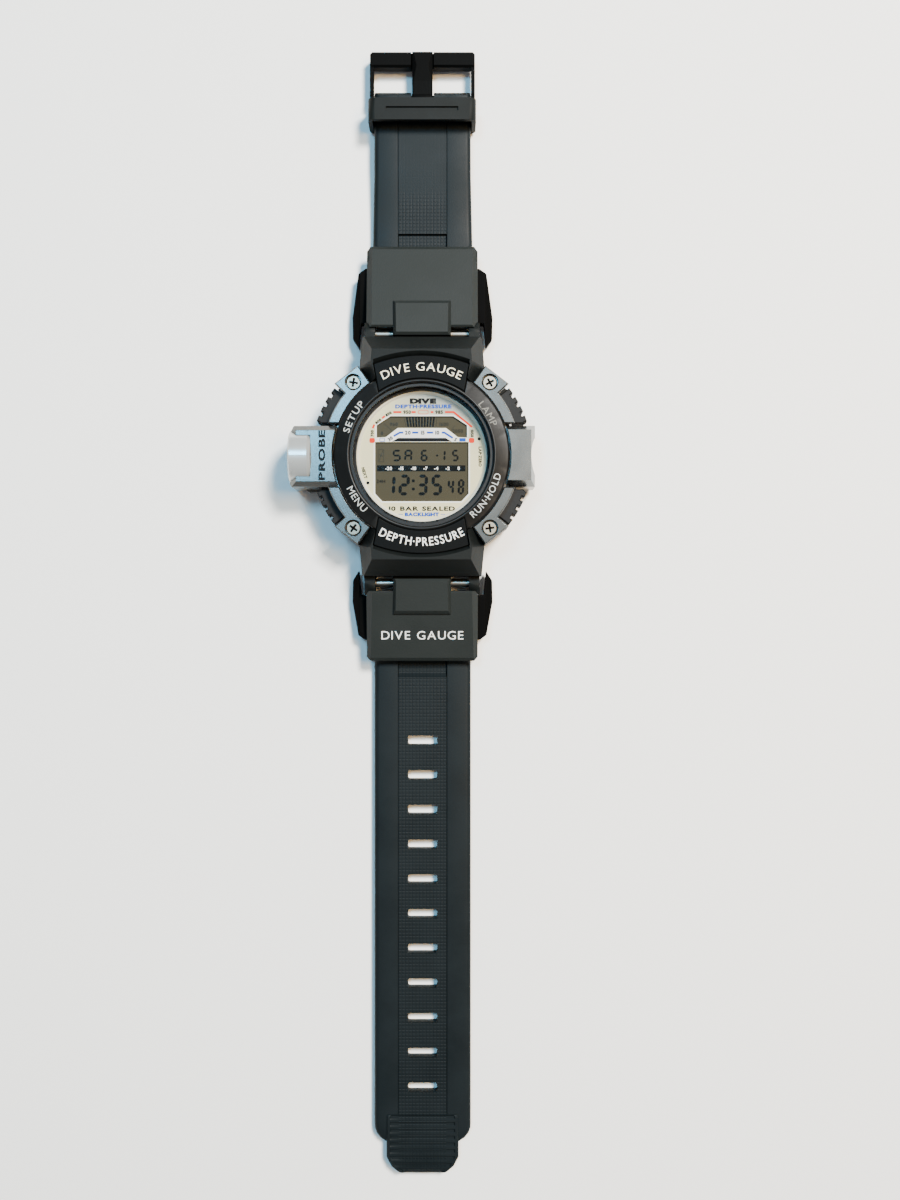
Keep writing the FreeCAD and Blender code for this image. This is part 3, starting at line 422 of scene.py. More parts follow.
def extruded(bm, face, keep):
    """Extrude a face and give the new one; the old one stays only where it closes an end."""
    grown = bmesh.ops.extrude_face_region(bm, geom=[face])
    if not keep:
        bmesh.ops.delete(bm, geom=[face], context="FACES_ONLY")
    return next(f for f in grown["geom"] if isinstance(f, bmesh.types.BMFace))


def raised(bm, face, height):
    """Extrude a face straight up into a closed slab."""
    bmesh.ops.translate(bm, vec=(0, 0, height), verts=extruded(bm, face, True).verts)


def polygon(bm, points, low, high):
    """Closed prism over a plan outline."""
    face = bm.faces.new([bm.verts.new((x, y, low)) for x, y in points])
    raised(bm, face, high - low)


# %% [markdown]
# ## The strap
# A moulded strap is one long section with small changes along it: it narrows, and its middle panel
# dips into a recess beside the link. A curve with a bevel shape could not change its section that
# way, so one section face is extruded along the strap, station by station, and each new section's
# points are set. The slots are cut afterwards with one Boolean whose cutters flare at the top, which
# leaves the moulded chamfer round each slot.

# %% Strap section
PANEL_HALF = 5.55          # half width of the strap's middle panel
GROOVE_WIDTH = 0.22
GROOVE_DEPTH = 0.35
PANEL_DROP = 0.08          # the panel lies this far below the side strips
GRID_PITCH = 0.785         # ten squares of the panel's grid to one slot pitch
STATION = 1.0
BARREL_R = 1.6
THICKNESS = box_mm("lower_strap_3")[1][2]


def section(half, low, high, panel_shift, groove=1.0):
    """Half of a strap's cross section, from the middle of the top round to the middle of the bottom."""
    deep = min(GROOVE_DEPTH * groove, (high - low) * 0.3)
    panel = high - PANEL_DROP * groove + panel_shift
    tall = high - low
    return [
        (0.0, panel), (1.8, panel), (3.6, panel), (PANEL_HALF - GROOVE_WIDTH, panel),
        (PANEL_HALF - GROOVE_WIDTH * 0.8, min(panel, high - deep)), (PANEL_HALF, high - deep),
        (PANEL_HALF + GROOVE_WIDTH * 0.2, high - 0.03), (PANEL_HALF + 0.6, high),
        (half - 1.2, high), (half - 0.75, high - 0.03 * tall), (half - 0.35, high - 0.11 * tall),
        (half - 0.1, high - 0.23 * tall), (half, high - 0.4 * tall), (half, low + 0.25 * tall),
        (half - 0.15, low + 0.08 * tall), (half - 0.5, low), (PANEL_HALF, low), (0.0, low)]


def whole_section(half_points):
    """Both halves of a section as one loop."""
    left = [(-x, z) for x, z in reversed(half_points[1:-1])]
    return half_points + left


def extruded_strap(stations, section_at, sign):
    """Closed strap mesh through the sections at each station; sign is the way it runs along Y."""
    bm = bmesh.new()
    face = bm.faces.new([bm.verts.new((x, sign * stations[0], z)) for x, z in section_at(stations[0])])
    for number, y in enumerate(stations[1:]):
        face = extruded(bm, face, number == 0)
        for vert, (x, z) in zip(face.verts, section_at(y)):
            vert.co = (x, sign * y, z)
    return bm


def blended(y, points):
    """Value at y on a line through (y, value) points."""
    for (y0, v0), (y1, v1) in zip(points, points[1:]):
        if y <= y1:
            return v0 + (v1 - v0) * max(0.0, y - y0) / (y1 - y0)
    return points[-1][1]


def barrel_height(y, pin, pin_z, top):
    """Upper or lower outline of the strap's rolled end round its pin."""
    reach = max(0.0, BARREL_R ** 2 - (y - pin) ** 2)
    return pin_z + (1 if top else -1) * math.sqrt(reach)


# %% [markdown]
# The slotted half is 119 mm long from its pin to the tip. It is cut into four meshes that meet flush
# at rigid places, and each of them spans one joint of the frame. One mesh over all four
# joints would need weights for five bodies at once.

# %% Slotted half: shape along its length
SLOT_FIRST = 63.3
SLOT_PITCH = 7.85
SLOT_COUNT = 11
SLOT_HALF = (3.3, 1.05)
SLOT_CORNER = 0.4
SLOT_FLARE = 0.16
RECESS_DEPTH = 0.8
TAIL_END = -box_mm("lower_strap_5")[0][1]
BODY_END = 154.2
GRIP_START = 147.6
GRIP_HALF = 8.15

pin_low, pin_high = box_mm("strap_pin_6")
tail_pin = -(pin_low[1] + pin_high[1]) / 2
tail_pin_z = (pin_low[2] + pin_high[2]) / 2
tail_root = -box_mm("link_6")[0][1]
tail_half = box_mm("lower_strap_1")[1][0]


def tail_section(y):
    """Section of the slotted half at a distance from the case's middle."""
    half = blended(y, [(tail_pin, tail_half), (151.0, tail_half), (152.4, 10.4), (153.4, 9.5),
                       (BODY_END, 8.2)])
    high = blended(y, [(tail_pin + 0.8, 4.85), (tail_pin + 3.4, THICKNESS), (200.0, THICKNESS)])
    low = blended(y, [(tail_pin - 0.8, 2.2), (tail_pin + 2.2, 0.0), (200.0, 0.0)])
    if y < tail_pin + 0.8:
        high = barrel_height(y, tail_pin, tail_pin_z, True)
    if y < tail_pin - 0.8:
        low = barrel_height(y, tail_pin, tail_pin_z, False)
    groove = blended(y, [(tail_root - 1.0, 0.0), (tail_root - 0.5, 1.0), (200.0, 1.0)])
    shift = 0.0
    if tail_root - 0.5 < y < tail_root + 3.0:
        shift = -RECESS_DEPTH
    return whole_section(section(half, low, high, shift, groove))


def stations(start, end, step, extra=()):
    """Evenly spaced places from start to end, with some more put in."""
    count = round((end - start) / step)
    places = {round(start + (end - start) * i / count, 4) for i in range(count + 1)}
    return sorted(places | {round(v, 4) for v in extra})


# %% Slot cutters
def rounded_outline(half_x, half_y, corner, segments=4):
    """Rectangle with round corners, anticlockwise, as (x, y) points about the origin."""
    points = []
    for quarter, (sx, sy) in enumerate(((1, 1), (-1, 1), (-1, -1), (1, -1))):
        for step in range(segments + 1):
            angle = math.pi / 2 * (quarter + step / segments)
            points.append((sx * (half_x - corner) + corner * math.cos(angle),
                           sy * (half_y - corner) + corner * math.sin(angle)))
    return points


def slot_cutters(sign):
    """Eleven slots, each flaring towards the top."""
    bm = bmesh.new()
    wall_top = THICKNESS - 0.3
    for number in range(SLOT_COUNT):
        middle = Vector((0.0, sign * (SLOT_FIRST + number * SLOT_PITCH), 0.0))
        outline = rounded_outline(SLOT_HALF[0], SLOT_HALF[1], SLOT_CORNER)
        face = bm.faces.new([bm.verts.new((x, middle.y + y, -1.0)) for x, y in outline])
        for rise, flare, first in ((wall_top + 1.0, 0.0, True), (0.4, SLOT_FLARE, False)):
            face = extruded(bm, face, first)
            bmesh.ops.translate(bm, vec=(0, 0, rise), verts=face.verts)
            bmesh.ops.scale(bm, vec=(1 + flare / SLOT_HALF[0], 1 + flare / SLOT_HALF[1], 1.0),
                            verts=face.verts, space=Matrix.Translation(-middle))
    return bm


def carved(bm, cutter_bm):
    """bm with the cutters' space taken out."""
    scratch = []
    for source in (bm, cutter_bm):
        bmesh.ops.recalc_face_normals(source, faces=source.faces)
        mesh = bpy.data.meshes.new("carving")
        source.to_mesh(mesh)
        source.free()
        scratch.append(bpy.data.objects.new("carving", mesh))
        bpy.context.scene.collection.objects.link(scratch[-1])
    cut = scratch[0].modifiers.new("cut", "BOOLEAN")
    cut.operation = "DIFFERENCE"
    cut.solver = "EXACT"
    cut.object = scratch[1]
    graph = bpy.context.evaluated_depsgraph_get()
    result = bmesh.new()
    result.from_mesh(bpy.data.meshes.new_from_object(scratch[0].evaluated_get(graph)))
    for obj in scratch:
        bpy.data.objects.remove(obj)
    return result


def pin_bore(bm, y, z, radius, half):
    """Cylinder along X to cut a pin hole."""
    turn = Matrix.Translation((0, y, z)) @ Matrix.Rotation(math.pi / 2, 4, "Y")
    bmesh.ops.create_cone(bm, cap_ends=True, segments=32, radius1=radius, radius2=radius, depth=2 * half,
                          matrix=turn)


# %% [markdown]
# A pattern that must stay on a bending strap can't read Object coordinates, because they change as
# the strap bends. So the strap's finish reads a UV map that holds each point's flat place in
# millimetres. The panel's grid of grooves is about a tenth of a millimetre deep, so it is bump and
# not mesh. It is deep beside the link on the buckle half and fades out towards the buckle.

# %% Strap finish
def strap_polyurethane():
    """Soft strap resin: fine grooves across the panel, grain and faint scuffs."""
    material, tree, shader = new_finish("strap_polyurethane", "#101516", 0.5)
    shader.inputs["Specular IOR Level"].default_value = 0.12
    flat = add(tree, "ShaderNodeUVMap", uv_map="flat_mm").outputs["UV"]
    grain = add(tree, "ShaderNodeTexNoise", {"Vector": flat, "Scale": 4.0, "Detail": 3.0})
    marks = add(tree, "ShaderNodeTexNoise", {"Vector": flat, "Scale": 0.09, "Detail": 5.0,
                                             "Roughness": 0.6})
    axes = add(tree, "ShaderNodeSeparateXYZ", {"Vector": flat})
    across = add(tree, "ShaderNodeMath", {0: axes.outputs["X"]}, operation="ABSOLUTE")
    on_panel = add(tree, "ShaderNodeMath", {0: across.outputs[0], 1: PANEL_HALF - GROOVE_WIDTH},
                   operation="LESS_THAN")
    ridges = []
    for axis in ("X", "Y"):
        saw = add(tree, "ShaderNodeMath", {0: axes.outputs[axis], 1: GRID_PITCH / 2}, operation="PINGPONG")
        ridge = add(tree, "ShaderNodeMapRange", {"Value": saw.outputs[0], "From Min": 0.04,
                                                 "From Max": 0.16}, interpolation_type="SMOOTHSTEP")
        ridges.append(ridge.outputs["Result"])
    grid = add(tree, "ShaderNodeMath", {0: ridges[0], 1: ridges[1]}, operation="MULTIPLY")
    shown = add(tree, "ShaderNodeMath", {0: grid.outputs[0], 1: on_panel.outputs[0]}, operation="MULTIPLY")
    depth = add(tree, "ShaderNodeMapRange", {"Value": axes.outputs["Y"], "From Min": 55.0, "From Max": 61.0,
                                             "To Min": 1.4, "To Max": 0.1})
    height = add(tree, "ShaderNodeMath", {0: shown.outputs[0], 1: depth.outputs["Result"],
                                          2: grain.outputs["Fac"]}, operation="MULTIPLY_ADD")
    tint = add(tree, "ShaderNodeMix", {"Factor": marks.outputs["Fac"], "A": linear("#0b1012"),
                                       "B": linear("#141b1e")}, data_type="RGBA")
    tree.links.new(tint.outputs["Result"], shader.inputs["Base Color"])
    gloss = add(tree, "ShaderNodeMapRange", {"Value": marks.outputs["Fac"], "From Min": 0.3,
                                             "From Max": 0.7, "To Min": 0.44, "To Max": 0.58})
    tree.links.new(gloss.outputs["Result"], shader.inputs["Roughness"])
    relief = add(tree, "ShaderNodeBump", {"Height": height.outputs[0], "Strength": 0.6,
                                          "Distance": 0.05 * MM})
    tree.links.new(relief.outputs["Normal"], shader.inputs["Normal"])
    return material


strap_finish = strap_polyurethane()


def keep_flat_place(bm):
    """Store every corner's X and Y in millimetres as a UV map."""
    layer = bm.loops.layers.uv.new("flat_mm")
    for face in bm.faces:
        for loop in face.loops:
            loop[layer].uv = loop.vert.co.xy


def strap_part(source, name, start, end, stands_for):
    """The stretch of a strap between two places, closed at its ends."""
    bm = source.copy()
    for y, side in ((start, 1), (end, -1)):
        if y is not None:
            cut = bmesh.ops.bisect_plane(bm, geom=bm.verts[:] + bm.edges[:] + bm.faces[:], dist=1e-5,
                                         plane_co=(0, y, 0), plane_no=(0, side, 0), clear_inner=True)
            rim = [e for e in cut["geom_cut"] if isinstance(e, bmesh.types.BMEdge)]
            bmesh.ops.holes_fill(bm, edges=rim)
    keep_flat_place(bm)
    piece = finished(name, bm, strap_finish, smooth=35)
    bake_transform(piece)
    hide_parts(*stands_for)
    return piece


# %% Build the slotted half
recess = [tail_root - 0.52, tail_root - 0.48, tail_root + 2.95, tail_root + 3.0]
tail_bm = extruded_strap(stations(tail_pin - 1.58, BODY_END, STATION, recess), tail_section, -1)
cutter = slot_cutters(-1)
pin_bore(cutter, -tail_pin, tail_pin_z, 0.85, 15.0)
tail_bm = carved(tail_bm, cutter)
bends = [-j["pos_m"][1] / MM for j in frame["joints"] if j["name"].startswith("lower_flex")]
cuts = [None] + [-(bend - SLOT_PITCH) for bend in bends[1:]] + [None]
for number, bend in enumerate(bends):
    stands = [f"lower_strap_{number + 1}"]
    if number == len(bends) - 1:
        stands.append(f"lower_strap_{number + 2}")
    strap_part(tail_bm, f"slotted_strap_{number + 1}", cuts[number + 1], cuts[number],
               stands)
tail_bm.free()


# %% [markdown]
# The grip at the tip is a ribbed pad, narrower than the strap and a little thicker. Its ribs could
# be boxes on a slab, but as stations of one section, high and low in turn, they leave no seams.

# %% Ribbed grip
GRIP_RIBS = 9
grip_stations = stations(GRIP_START, TAIL_END, (TAIL_END - GRIP_START) / (GRIP_RIBS * 6))


def grip_section(y):
    """Section of the grip, whose top steps up and down once for each rib."""
    along = (y - GRIP_START) / (TAIL_END - GRIP_START)
    half = blended(y, [(GRIP_START, GRIP_HALF - 0.5), (GRIP_START + 0.5, GRIP_HALF), (157.4, GRIP_HALF),
                       (159.4, 7.1), (TAIL_END - 0.2, 4.9), (TAIL_END, 4.6)])
    phase = along * GRIP_RIBS % 1
    rib = 0.0 if 0.3 < phase < 0.7 else 0.32
    edge = min(1.0, (TAIL_END - y) / 0.6, (y - GRIP_START) / 0.5 + 0.4)
    high = 0.6 + (THICKNESS - 0.35) * max(0.0, edge) ** 0.5
    top = high + (rib - 0.16) * max(0.0, edge)
    low = 0.02 + 0.5 * (1 - max(0.0, edge))
    border = half - 0.8
    return whole_section([(0.0, top), (border * 0.5, top), (border - 0.25, top), (border, high + 0.12),
                          (half - 0.35, high + 0.12), (half - 0.1, high - 0.05), (half, high - 0.45),
                          (half, low + 0.5), (half - 0.5, low), (0.0, low)])


grip_bm = extruded_strap(grip_stations, grip_section, -1)
keep_flat_place(grip_bm)
finished("strap_tip_grip", grip_bm, strap_finish, body="lower_strap_end", smooth=30)
print("grip from", GRIP_START, "to", round(TAIL_END, 1), "mm with", GRIP_RIBS, "ribs")

# %% [markdown]
# The buckle half is shorter and has no slots. It rises gently near the buckle, over the keeper's
# lower wall, and ends in a rolled eye that is notched for the tang. It spans one joint, so it
# is one mesh.

# %% Buckle half
head_low, head_high = box_mm("strap_pin_12")
head_pin = (head_low[1] + head_high[1]) / 2
head_pin_z = (head_low[2] + head_high[2]) / 2
head_root = box_mm("link_12")[1][1]
head_half = box_mm("upper_strap_1")[1][0]
far_low, far_high = box_mm("upper_strap_2")
eye_low, eye_high = box_mm("buckle_pin")
eye_y = (eye_low[1] + eye_high[1]) / 2
eye_z = (eye_low[2] + eye_high[2]) / 2
EYE_R = (far_high[2] - far_low[2]) / 2
TANG_ROOM = 2.55           # half width of the notch for the tang
HEAD_RECESS = 3.6
CLIMB = (50.0, 71.0)       # the strap rises between these two places


def head_section(y):
    """Section of the buckle half at a distance from the case's middle."""
    half = blended(y, [(head_root, head_half), (64.0, 10.9), (eye_y + 2, 10.8)])
    climb = min(1.0, max(0.0, (y - CLIMB[0]) / (CLIMB[1] - CLIMB[0])))
    climb = climb * climb * (3 - 2 * climb)
    high = blended(y, [(head_pin + 0.8, 4.85), (head_pin + 3.4, THICKNESS), (100.0, THICKNESS)])
    high += climb * (far_high[2] - THICKNESS)
    low = blended(y, [(head_pin - 0.8, 2.2), (head_pin + 2.2, 0.0), (100.0, 0.0)]) + climb * far_low[2]
    if y < head_pin + 0.8:
        high = barrel_height(y, head_pin, head_pin_z, True)
    if y < head_pin - 0.8:
        low = barrel_height(y, head_pin, head_pin_z, False)
    if y > eye_y:
        reach = math.sqrt(max(0.0, EYE_R ** 2 - (y - eye_y) ** 2))
        high = eye_z + reach
        low = eye_z - reach
    groove = blended(y, [(head_root - 1.0, 0.0), (head_root - 0.5, 1.0), (eye_y - 1.5, 1.0), (eye_y, 0.0),
                         (200.0, 0.0)])
    shift = 0.0
    if head_root - 0.5 < y < head_root + HEAD_RECESS:
        shift = -RECESS_DEPTH
    return whole_section(section(half, low, high, shift, groove))


recess = [head_root - 0.52, head_root - 0.48, head_root + HEAD_RECESS - 0.05, head_root + HEAD_RECESS]
head_bm = extruded_strap(stations(head_pin - 1.58, eye_y + EYE_R - 0.02, STATION, recess), head_section, 1)
cutter = bmesh.new()
pin_bore(cutter, head_pin, head_pin_z, 0.85, 15.0)
pin_bore(cutter, eye_y, eye_z, 0.82, 15.0)
notch = bmesh.ops.create_cube(cutter, size=1.0)["verts"]
bmesh.ops.scale(cutter, vec=(2 * TANG_ROOM, 8.0, 12.0), verts=notch)
bmesh.ops.translate(cutter, vec=(0, eye_y - 2.4 + 4.0, eye_z), verts=notch)
head_bm = carved(head_bm, cutter)
strap_part(head_bm, "buckle_strap", None, None,
           ["upper_strap_1", "upper_strap_2"])
head_bm.free()


# %% [markdown]
# ## Lettering
# Letters are text curves made into thin meshes and welded shut. Words on an arc are set one letter at
# a time, each turned to its own place on the arc, and then joined into one piece per word, because a
# text object bent by a modifier would bend its letters too. The words name plain functions, such as
# SETUP or LAMP. Letters wider than about a tenth of their height grow into themselves, so the weight
# stays small.

# %% Letter helpers
WELD = 0.001               # a letter's front, back and edge walls meet within this distance


def glyph(bm, letter, size, matrix, thickness=0.03, offset=0.0):
    """Add one letter to bm, size high, standing on matrix; gives the letter's width."""
    curve = bpy.data.curves.new("glyph", "FONT")
    curve.body = letter
    curve.size = size * 1.4
    curve.align_x = "CENTER"
    curve.extrude = thickness / 2
    curve.offset = offset * (0.4 if letter in "MW" else 1.0)
    curve.resolution_u = 3
    obj = bpy.data.objects.new("glyph", curve)
    bpy.context.scene.collection.objects.link(obj)
    graph = bpy.context.evaluated_depsgraph_get()
    mesh = bpy.data.meshes.new_from_object(obj.evaluated_get(graph))
    width = max(v.co.x for v in mesh.vertices) - min(v.co.x for v in mesh.vertices)
    solid = bmesh.new()
    solid.from_mesh(mesh)
    bmesh.ops.remove_doubles(solid, verts=solid.verts, dist=WELD)
    bmesh.ops.dissolve_degenerate(solid, edges=solid.edges, dist=WELD / 2)
    solid.to_mesh(mesh)
    solid.free()
    mesh.transform(matrix)
    bm.from_mesh(mesh)
    bpy.data.objects.remove(obj)
    bpy.data.curves.remove(curve)
    return width


def glyph_width(letter, size):
    """Width of one letter at a size."""
    probe = bmesh.new()
    width = glyph(probe, letter, size, Matrix.Identity(4))
    probe.free()
    return width


def word_on_arc(name, text, size, radius, middle, surface, finish, body="case", inward=False,
                length=None, lean=0.0, weight=0.0):
    """Word centred at the polar angle middle, tops outward, or towards the centre when inward."""
    widths = [glyph_width(c, size) if c != " " else size * 0.35 for c in text]
    gap = size * 0.22
    natural = sum(widths) + gap * (len(text) - 1)
    stretch = length / natural if length else 1.0
    bm = bmesh.new()
    run = -natural * stretch / 2
    for letter, width in zip(text, widths):
        centre = run + width * stretch / 2
        run += (width + gap) * stretch
        if letter == " ":
            continue
        way = 1 if inward else -1
        angle = math.radians(middle) + way * centre / radius
        upright = Matrix.Rotation(angle + (math.pi / 2 if inward else -math.pi / 2), 4, "Z")
        tip = Matrix.Rotation(math.radians(lean if inward else -lean), 4, "X")
        base = Matrix.Translation((radius * math.cos(angle), radius * math.sin(angle), surface))
        down = Matrix.Translation((0, -size / 2, 0))
        wide = Matrix.Diagonal((stretch if length else 1.0, 1.0, 1.0, 1.0))
        glyph(bm, letter, size, base @ upright @ tip @ down @ wide, offset=weight)
    return finished(name, bm, finish, body=body)


def word_straight(bm, text, size, centre, surface, turn=0.0, length=None, weight=0.0, thickness=0.03):
    """Straight word added to bm, centred, letter by letter."""
    widths = [glyph_width(c, size) if c != " " else size * 0.35 for c in text]
    gap = size * 0.22
    natural = sum(widths) + gap * (len(text) - 1)
    stretch = length / natural if length else 1.0
    place = Matrix.Translation((*centre, surface)) @ Matrix.Rotation(math.radians(turn), 4, "Z")
    run = -natural * stretch / 2
    for letter, width in zip(text, widths):
        middle = run + width * stretch / 2
        run += (width + gap) * stretch
        if letter != " ":
            shift = Matrix.Translation((middle, -size / 2, 0)) @ Matrix.Diagonal((stretch, 1.0, 1.0, 1.0))
            glyph(bm, letter, size, place @ shift, offset=weight, thickness=thickness)


# %% Words on the ring, panels, sensor and link
RING_LETTER_R = 17.1
RING_LETTER_Z = 13.34
RING_SLOPE = 13.0          # degrees that the ring falls outwards
word_on_arc("label_set", "SETUP", 1.55, RING_LETTER_R, 151.2, RING_LETTER_Z, ring_ink,
            lean=RING_SLOPE, length=7.4)
word_on_arc("label_lamp", "LAMP", 1.55, RING_LETTER_R, 31.7, RING_LETTER_Z, ink_grey,
            lean=RING_SLOPE, length=5.8)
word_on_arc("label_menu", "MENU", 1.55, RING_LETTER_R, 214.7, RING_LETTER_Z, ring_ink,
            inward=True, lean=RING_SLOPE, length=6.1)
word_on_arc("label_run_hold", "RUN·HOLD", 1.55, RING_LETTER_R, -32.5, RING_LETTER_Z, ring_ink,
            inward=True, lean=RING_SLOPE, length=11.0)
panel_top = box_mm("top_panel")[1][2]
word_on_arc("panel_word_top", "DIVE GAUGE", 1.85, 19.1, 90, panel_top + 0.02, ink_cream,
            length=18.0, weight=0.0)
word_on_arc("panel_word_bottom", "DEPTH·PRESSURE", 1.85, 18.9, 270, panel_top + 0.02, ink_white,
            inward=True, length=18.6, weight=0.03)
sensor_top = box_mm("sensor_housing")[1][2]
probe = bmesh.new()
word_straight(probe, "PROBE", 1.35, (-21.7, -0.2), sensor_top + 0.02, turn=90, length=10.6, weight=0.08)
finished("sensor_word", probe, ink_black, body="case")


# %% [markdown]
# ## The printed dial
# The dial carries flat ink: an orange scale over the arched window, a white band with a blue scale
# under it, and small words. It could be a pattern of nodes, but edges drawn by mesh stay sharp, so
# each colour is one thin mesh, two hundredths of a millimetre thick.

# %% Dial print helpers
DIAL_TOP = box_mm("dial_plate")[1][2]
INK = 0.02


def stroke(bm, points, width, low, high):
    """Ribbon of ink along a line of points, mitred at its corners."""
    left, right = [], []
    for i, (x, y) in enumerate(points):
        before = Vector(points[max(i - 1, 0)])
        after = Vector(points[min(i + 1, len(points) - 1)])
        here = Vector((x, y))
        first = (here - before).normalized() if i else (after - here).normalized()
        last = (after - here).normalized() if i < len(points) - 1 else first
        along = (first + last).normalized()
        normal = Vector((-along.y, along.x))
        reach = width / 2 / max(0.4, normal.dot(Vector((-first.y, first.x))))
        left.append(tuple(here + normal * reach))
        right.append(tuple(here - normal * reach))
    polygon(bm, left + right[::-1], low, high)


def ink_piece(name, finish, build):
    """A piece made by a function that adds ink to a bmesh."""
    bm = bmesh.new()
    build(bm)
    return finished(name, bm, finish, body="case")


# %% Dial print
MAIN_WINDOW = [(-10.3, 3.2), (-10.3, -8.2), (-8.7, -9.85), (8.7, -9.85), (10.3, -8.2), (10.3, 3.2)]
UP = DIAL_TOP + INK


def outlined(bm, x, y, half_x, half_y, corner, width, low, high):
    """Outline of a round-cornered box about x, y."""
    loop = [(x + a, y + b) for a, b in rounded_outline(half_x, half_y, corner)]
    stroke(bm, loop + loop[:2], width, low, high)


def orange_ink(bm):
    for line in ([(-6.3, 9.8), (-4.5, 9.8)], [(-2.3, 9.8), (-1.35, 9.8)], [(1.95, 9.8), (2.55, 9.8)],
                 [(5.1, 9.8), (7.0, 9.8), (11.05, 6.5)], [(-8.75, 8.45), (-8.15, 8.95)],
                 [(-10.85, 6.25), (-10.45, 7.05)]):
        stroke(bm, line, 0.42, DIAL_TOP, UP)
    for side in (-1, 1):
        blob = [(side * 10.95 + x, 3.55 + y) for x, y in rounded_outline(0.6, 0.55, 0.35)]
        polygon(bm, blob, DIAL_TOP, UP)
    outlined(bm, 0.3, 9.8, 1.1, 0.42, 0.41, 0.12, DIAL_TOP, UP)


def white_ink(bm):
    under = DIAL_TOP + INK / 2
    band = [(-10.3, 3.25), (-10.3, 4.1), (-7.95, 4.2), (-5.35, 6.25), (5.35, 6.25), (7.95, 4.2),
            (10.3, 4.1), (10.3, 3.25)]
    polygon(bm, band, DIAL_TOP, under)
    left_edge = [(x * 1.018, y) for x, y in MAIN_WINDOW[0:2]]
    lower_edge = [(-8.8, -10.02), (8.8, -10.02), (10.48, -8.2), (10.48, 3.2)]
    stroke(bm, left_edge + lower_edge, 0.3, DIAL_TOP, under)
    arch_edge = [(-10.13, 4.2), (-10.13, 6.98), (-6.97, 9.08), (6.97, 9.08), (10.13, 6.98), (10.13, 4.2)]
    stroke(bm, arch_edge, 0.3, DIAL_TOP, under)


def blue_ink(bm):
    for line in ([(-6.2, 4.5), (-4.85, 5.28), (-4.1, 5.28)], [(4.38, 5.28), (4.95, 5.28), (6.8, 4.1)],
                 [(-2.15, 5.28), (-0.76, 5.28)], [(1.1, 5.28), (2.5, 5.28)]):
        stroke(bm, line, 0.42, DIAL_TOP, UP)
    outlined(bm, -8.75, 3.7, 0.52, 0.36, 0.1, 0.13, DIAL_TOP, UP)
    polygon(bm, [(8.95 + x, 3.7 + y) for x, y in rounded_outline(0.72, 0.38, 0.1)], DIAL_TOP, UP)
    word_straight(bm, "DEPTH·PRESSURE", 0.78, (0.3, 11.05), UP, length=12.2, weight=0.06, thickness=INK)
    word_straight(bm, "BACKLIGHT", 0.72, (0.0, -12.72), UP, length=7.4, weight=0.07, thickness=INK)
    for side in (-1, 1):
        stroke(bm, [(side * 4.15, -12.72), (side * 5.15, -12.72)], 0.12, DIAL_TOP, UP)


def black_ink(bm):
    word_straight(bm, "10 BAR SEALED", 0.9, (0.0, -11.45), UP, length=14.4, weight=0.05, thickness=INK)
    polygon(bm, [(-5.25, 4.1), (-6.6, 3.3), (6.6, 3.3), (5.25, 4.1)], DIAL_TOP + INK / 2, UP)
    word_straight(bm, "DIVE", 1.0, (0.2, 12.25), UP, length=5.4, weight=0.12, thickness=INK)
    for text, x, y, turn, size in (
            ("950", -3.25, 9.8, 0, 0.72), ("985", 3.8, 9.8, 0, 0.72), ("700", -10.95, 5.1, 90, 0.6),
            ("800", -9.6, 7.75, 38, 0.6), ("850", -7.35, 9.4, 30, 0.6), ("1050", 11.1, 5.1, -90, 0.6),
            ("30", -6.95, 3.95, 34, 0.72), ("20", -3.1, 5.28, 0, 0.8), ("15", 0.2, 5.28, 0, 0.8),
            ("10", 3.4, 5.28, 0, 0.8), ("5", 7.45, 3.75, -34, 0.72)):
        word_straight(bm, text, size, (x, y), UP, turn=turn, weight=0.05, thickness=INK)
    for x, y in ((-11.9, -5.8), (12.6, 3.9)):
        polygon(bm, [(x + a, y + b) for a, b in rounded_outline(0.35, 0.35, 0.349)], DIAL_TOP, UP)
    word_straight(bm, "NEXT", 0.62, (-12.65, -3.6), UP, turn=-74, weight=0.05, thickness=INK)
    word_straight(bm, "LAP·ZERO", 0.62, (12.85, 0.0), UP, turn=-90, weight=0.05, thickness=INK)


def dial_rim(bm):
    """Low raised rim where the dial plate meets the inner ring."""
    profile = [bm.verts.new((radius, 0, DIAL_TOP + height)) for radius, height in
               ((14.38, 0.0), (14.38, 0.45), (14.1, 0.5), (13.75, 0.0))]
    edges = [bm.edges.new((profile[i - 1], profile[i])) for i in range(len(profile))]
    bmesh.ops.spin(bm, geom=profile + edges, cent=(0, 0, 0), axis=(0, 0, 1), angle=2 * math.pi, steps=96,
                   use_merge=True)


ink_piece("dial_rim", rim_lacquer, dial_rim)
ink_piece("dial_white_band", ink_white, white_ink)
ink_piece("dial_orange_print", ink_orange, orange_ink)
ink_piece("dial_blue_print", ink_blue, blue_ink)
ink_piece("dial_black_print", ink_black, black_ink)
print("dial print stands at", round(UP, 2), "mm")


# %% [markdown]
# ## The display
# Digits on an LCD are seven bevelled bars each. One function draws the bars that a character needs,
# because a typeface would not have their gaps. They stand a hair above the reflector.

# %% Seven-segment digits
SEGMENTS = {"0": "abcdef", "1": "bc", "2": "abged", "3": "abgcd", "4": "fgbc", "5": "afgcd", "6": "afgedc",
            "8": "abcdefg", "A": "abcefg", "S": "afgcd", "-": "g"}
LCD_TOP = box_mm("lcd_panel")[1][2]
SHOWN = LCD_TOP + INK
SLANT = 0.05


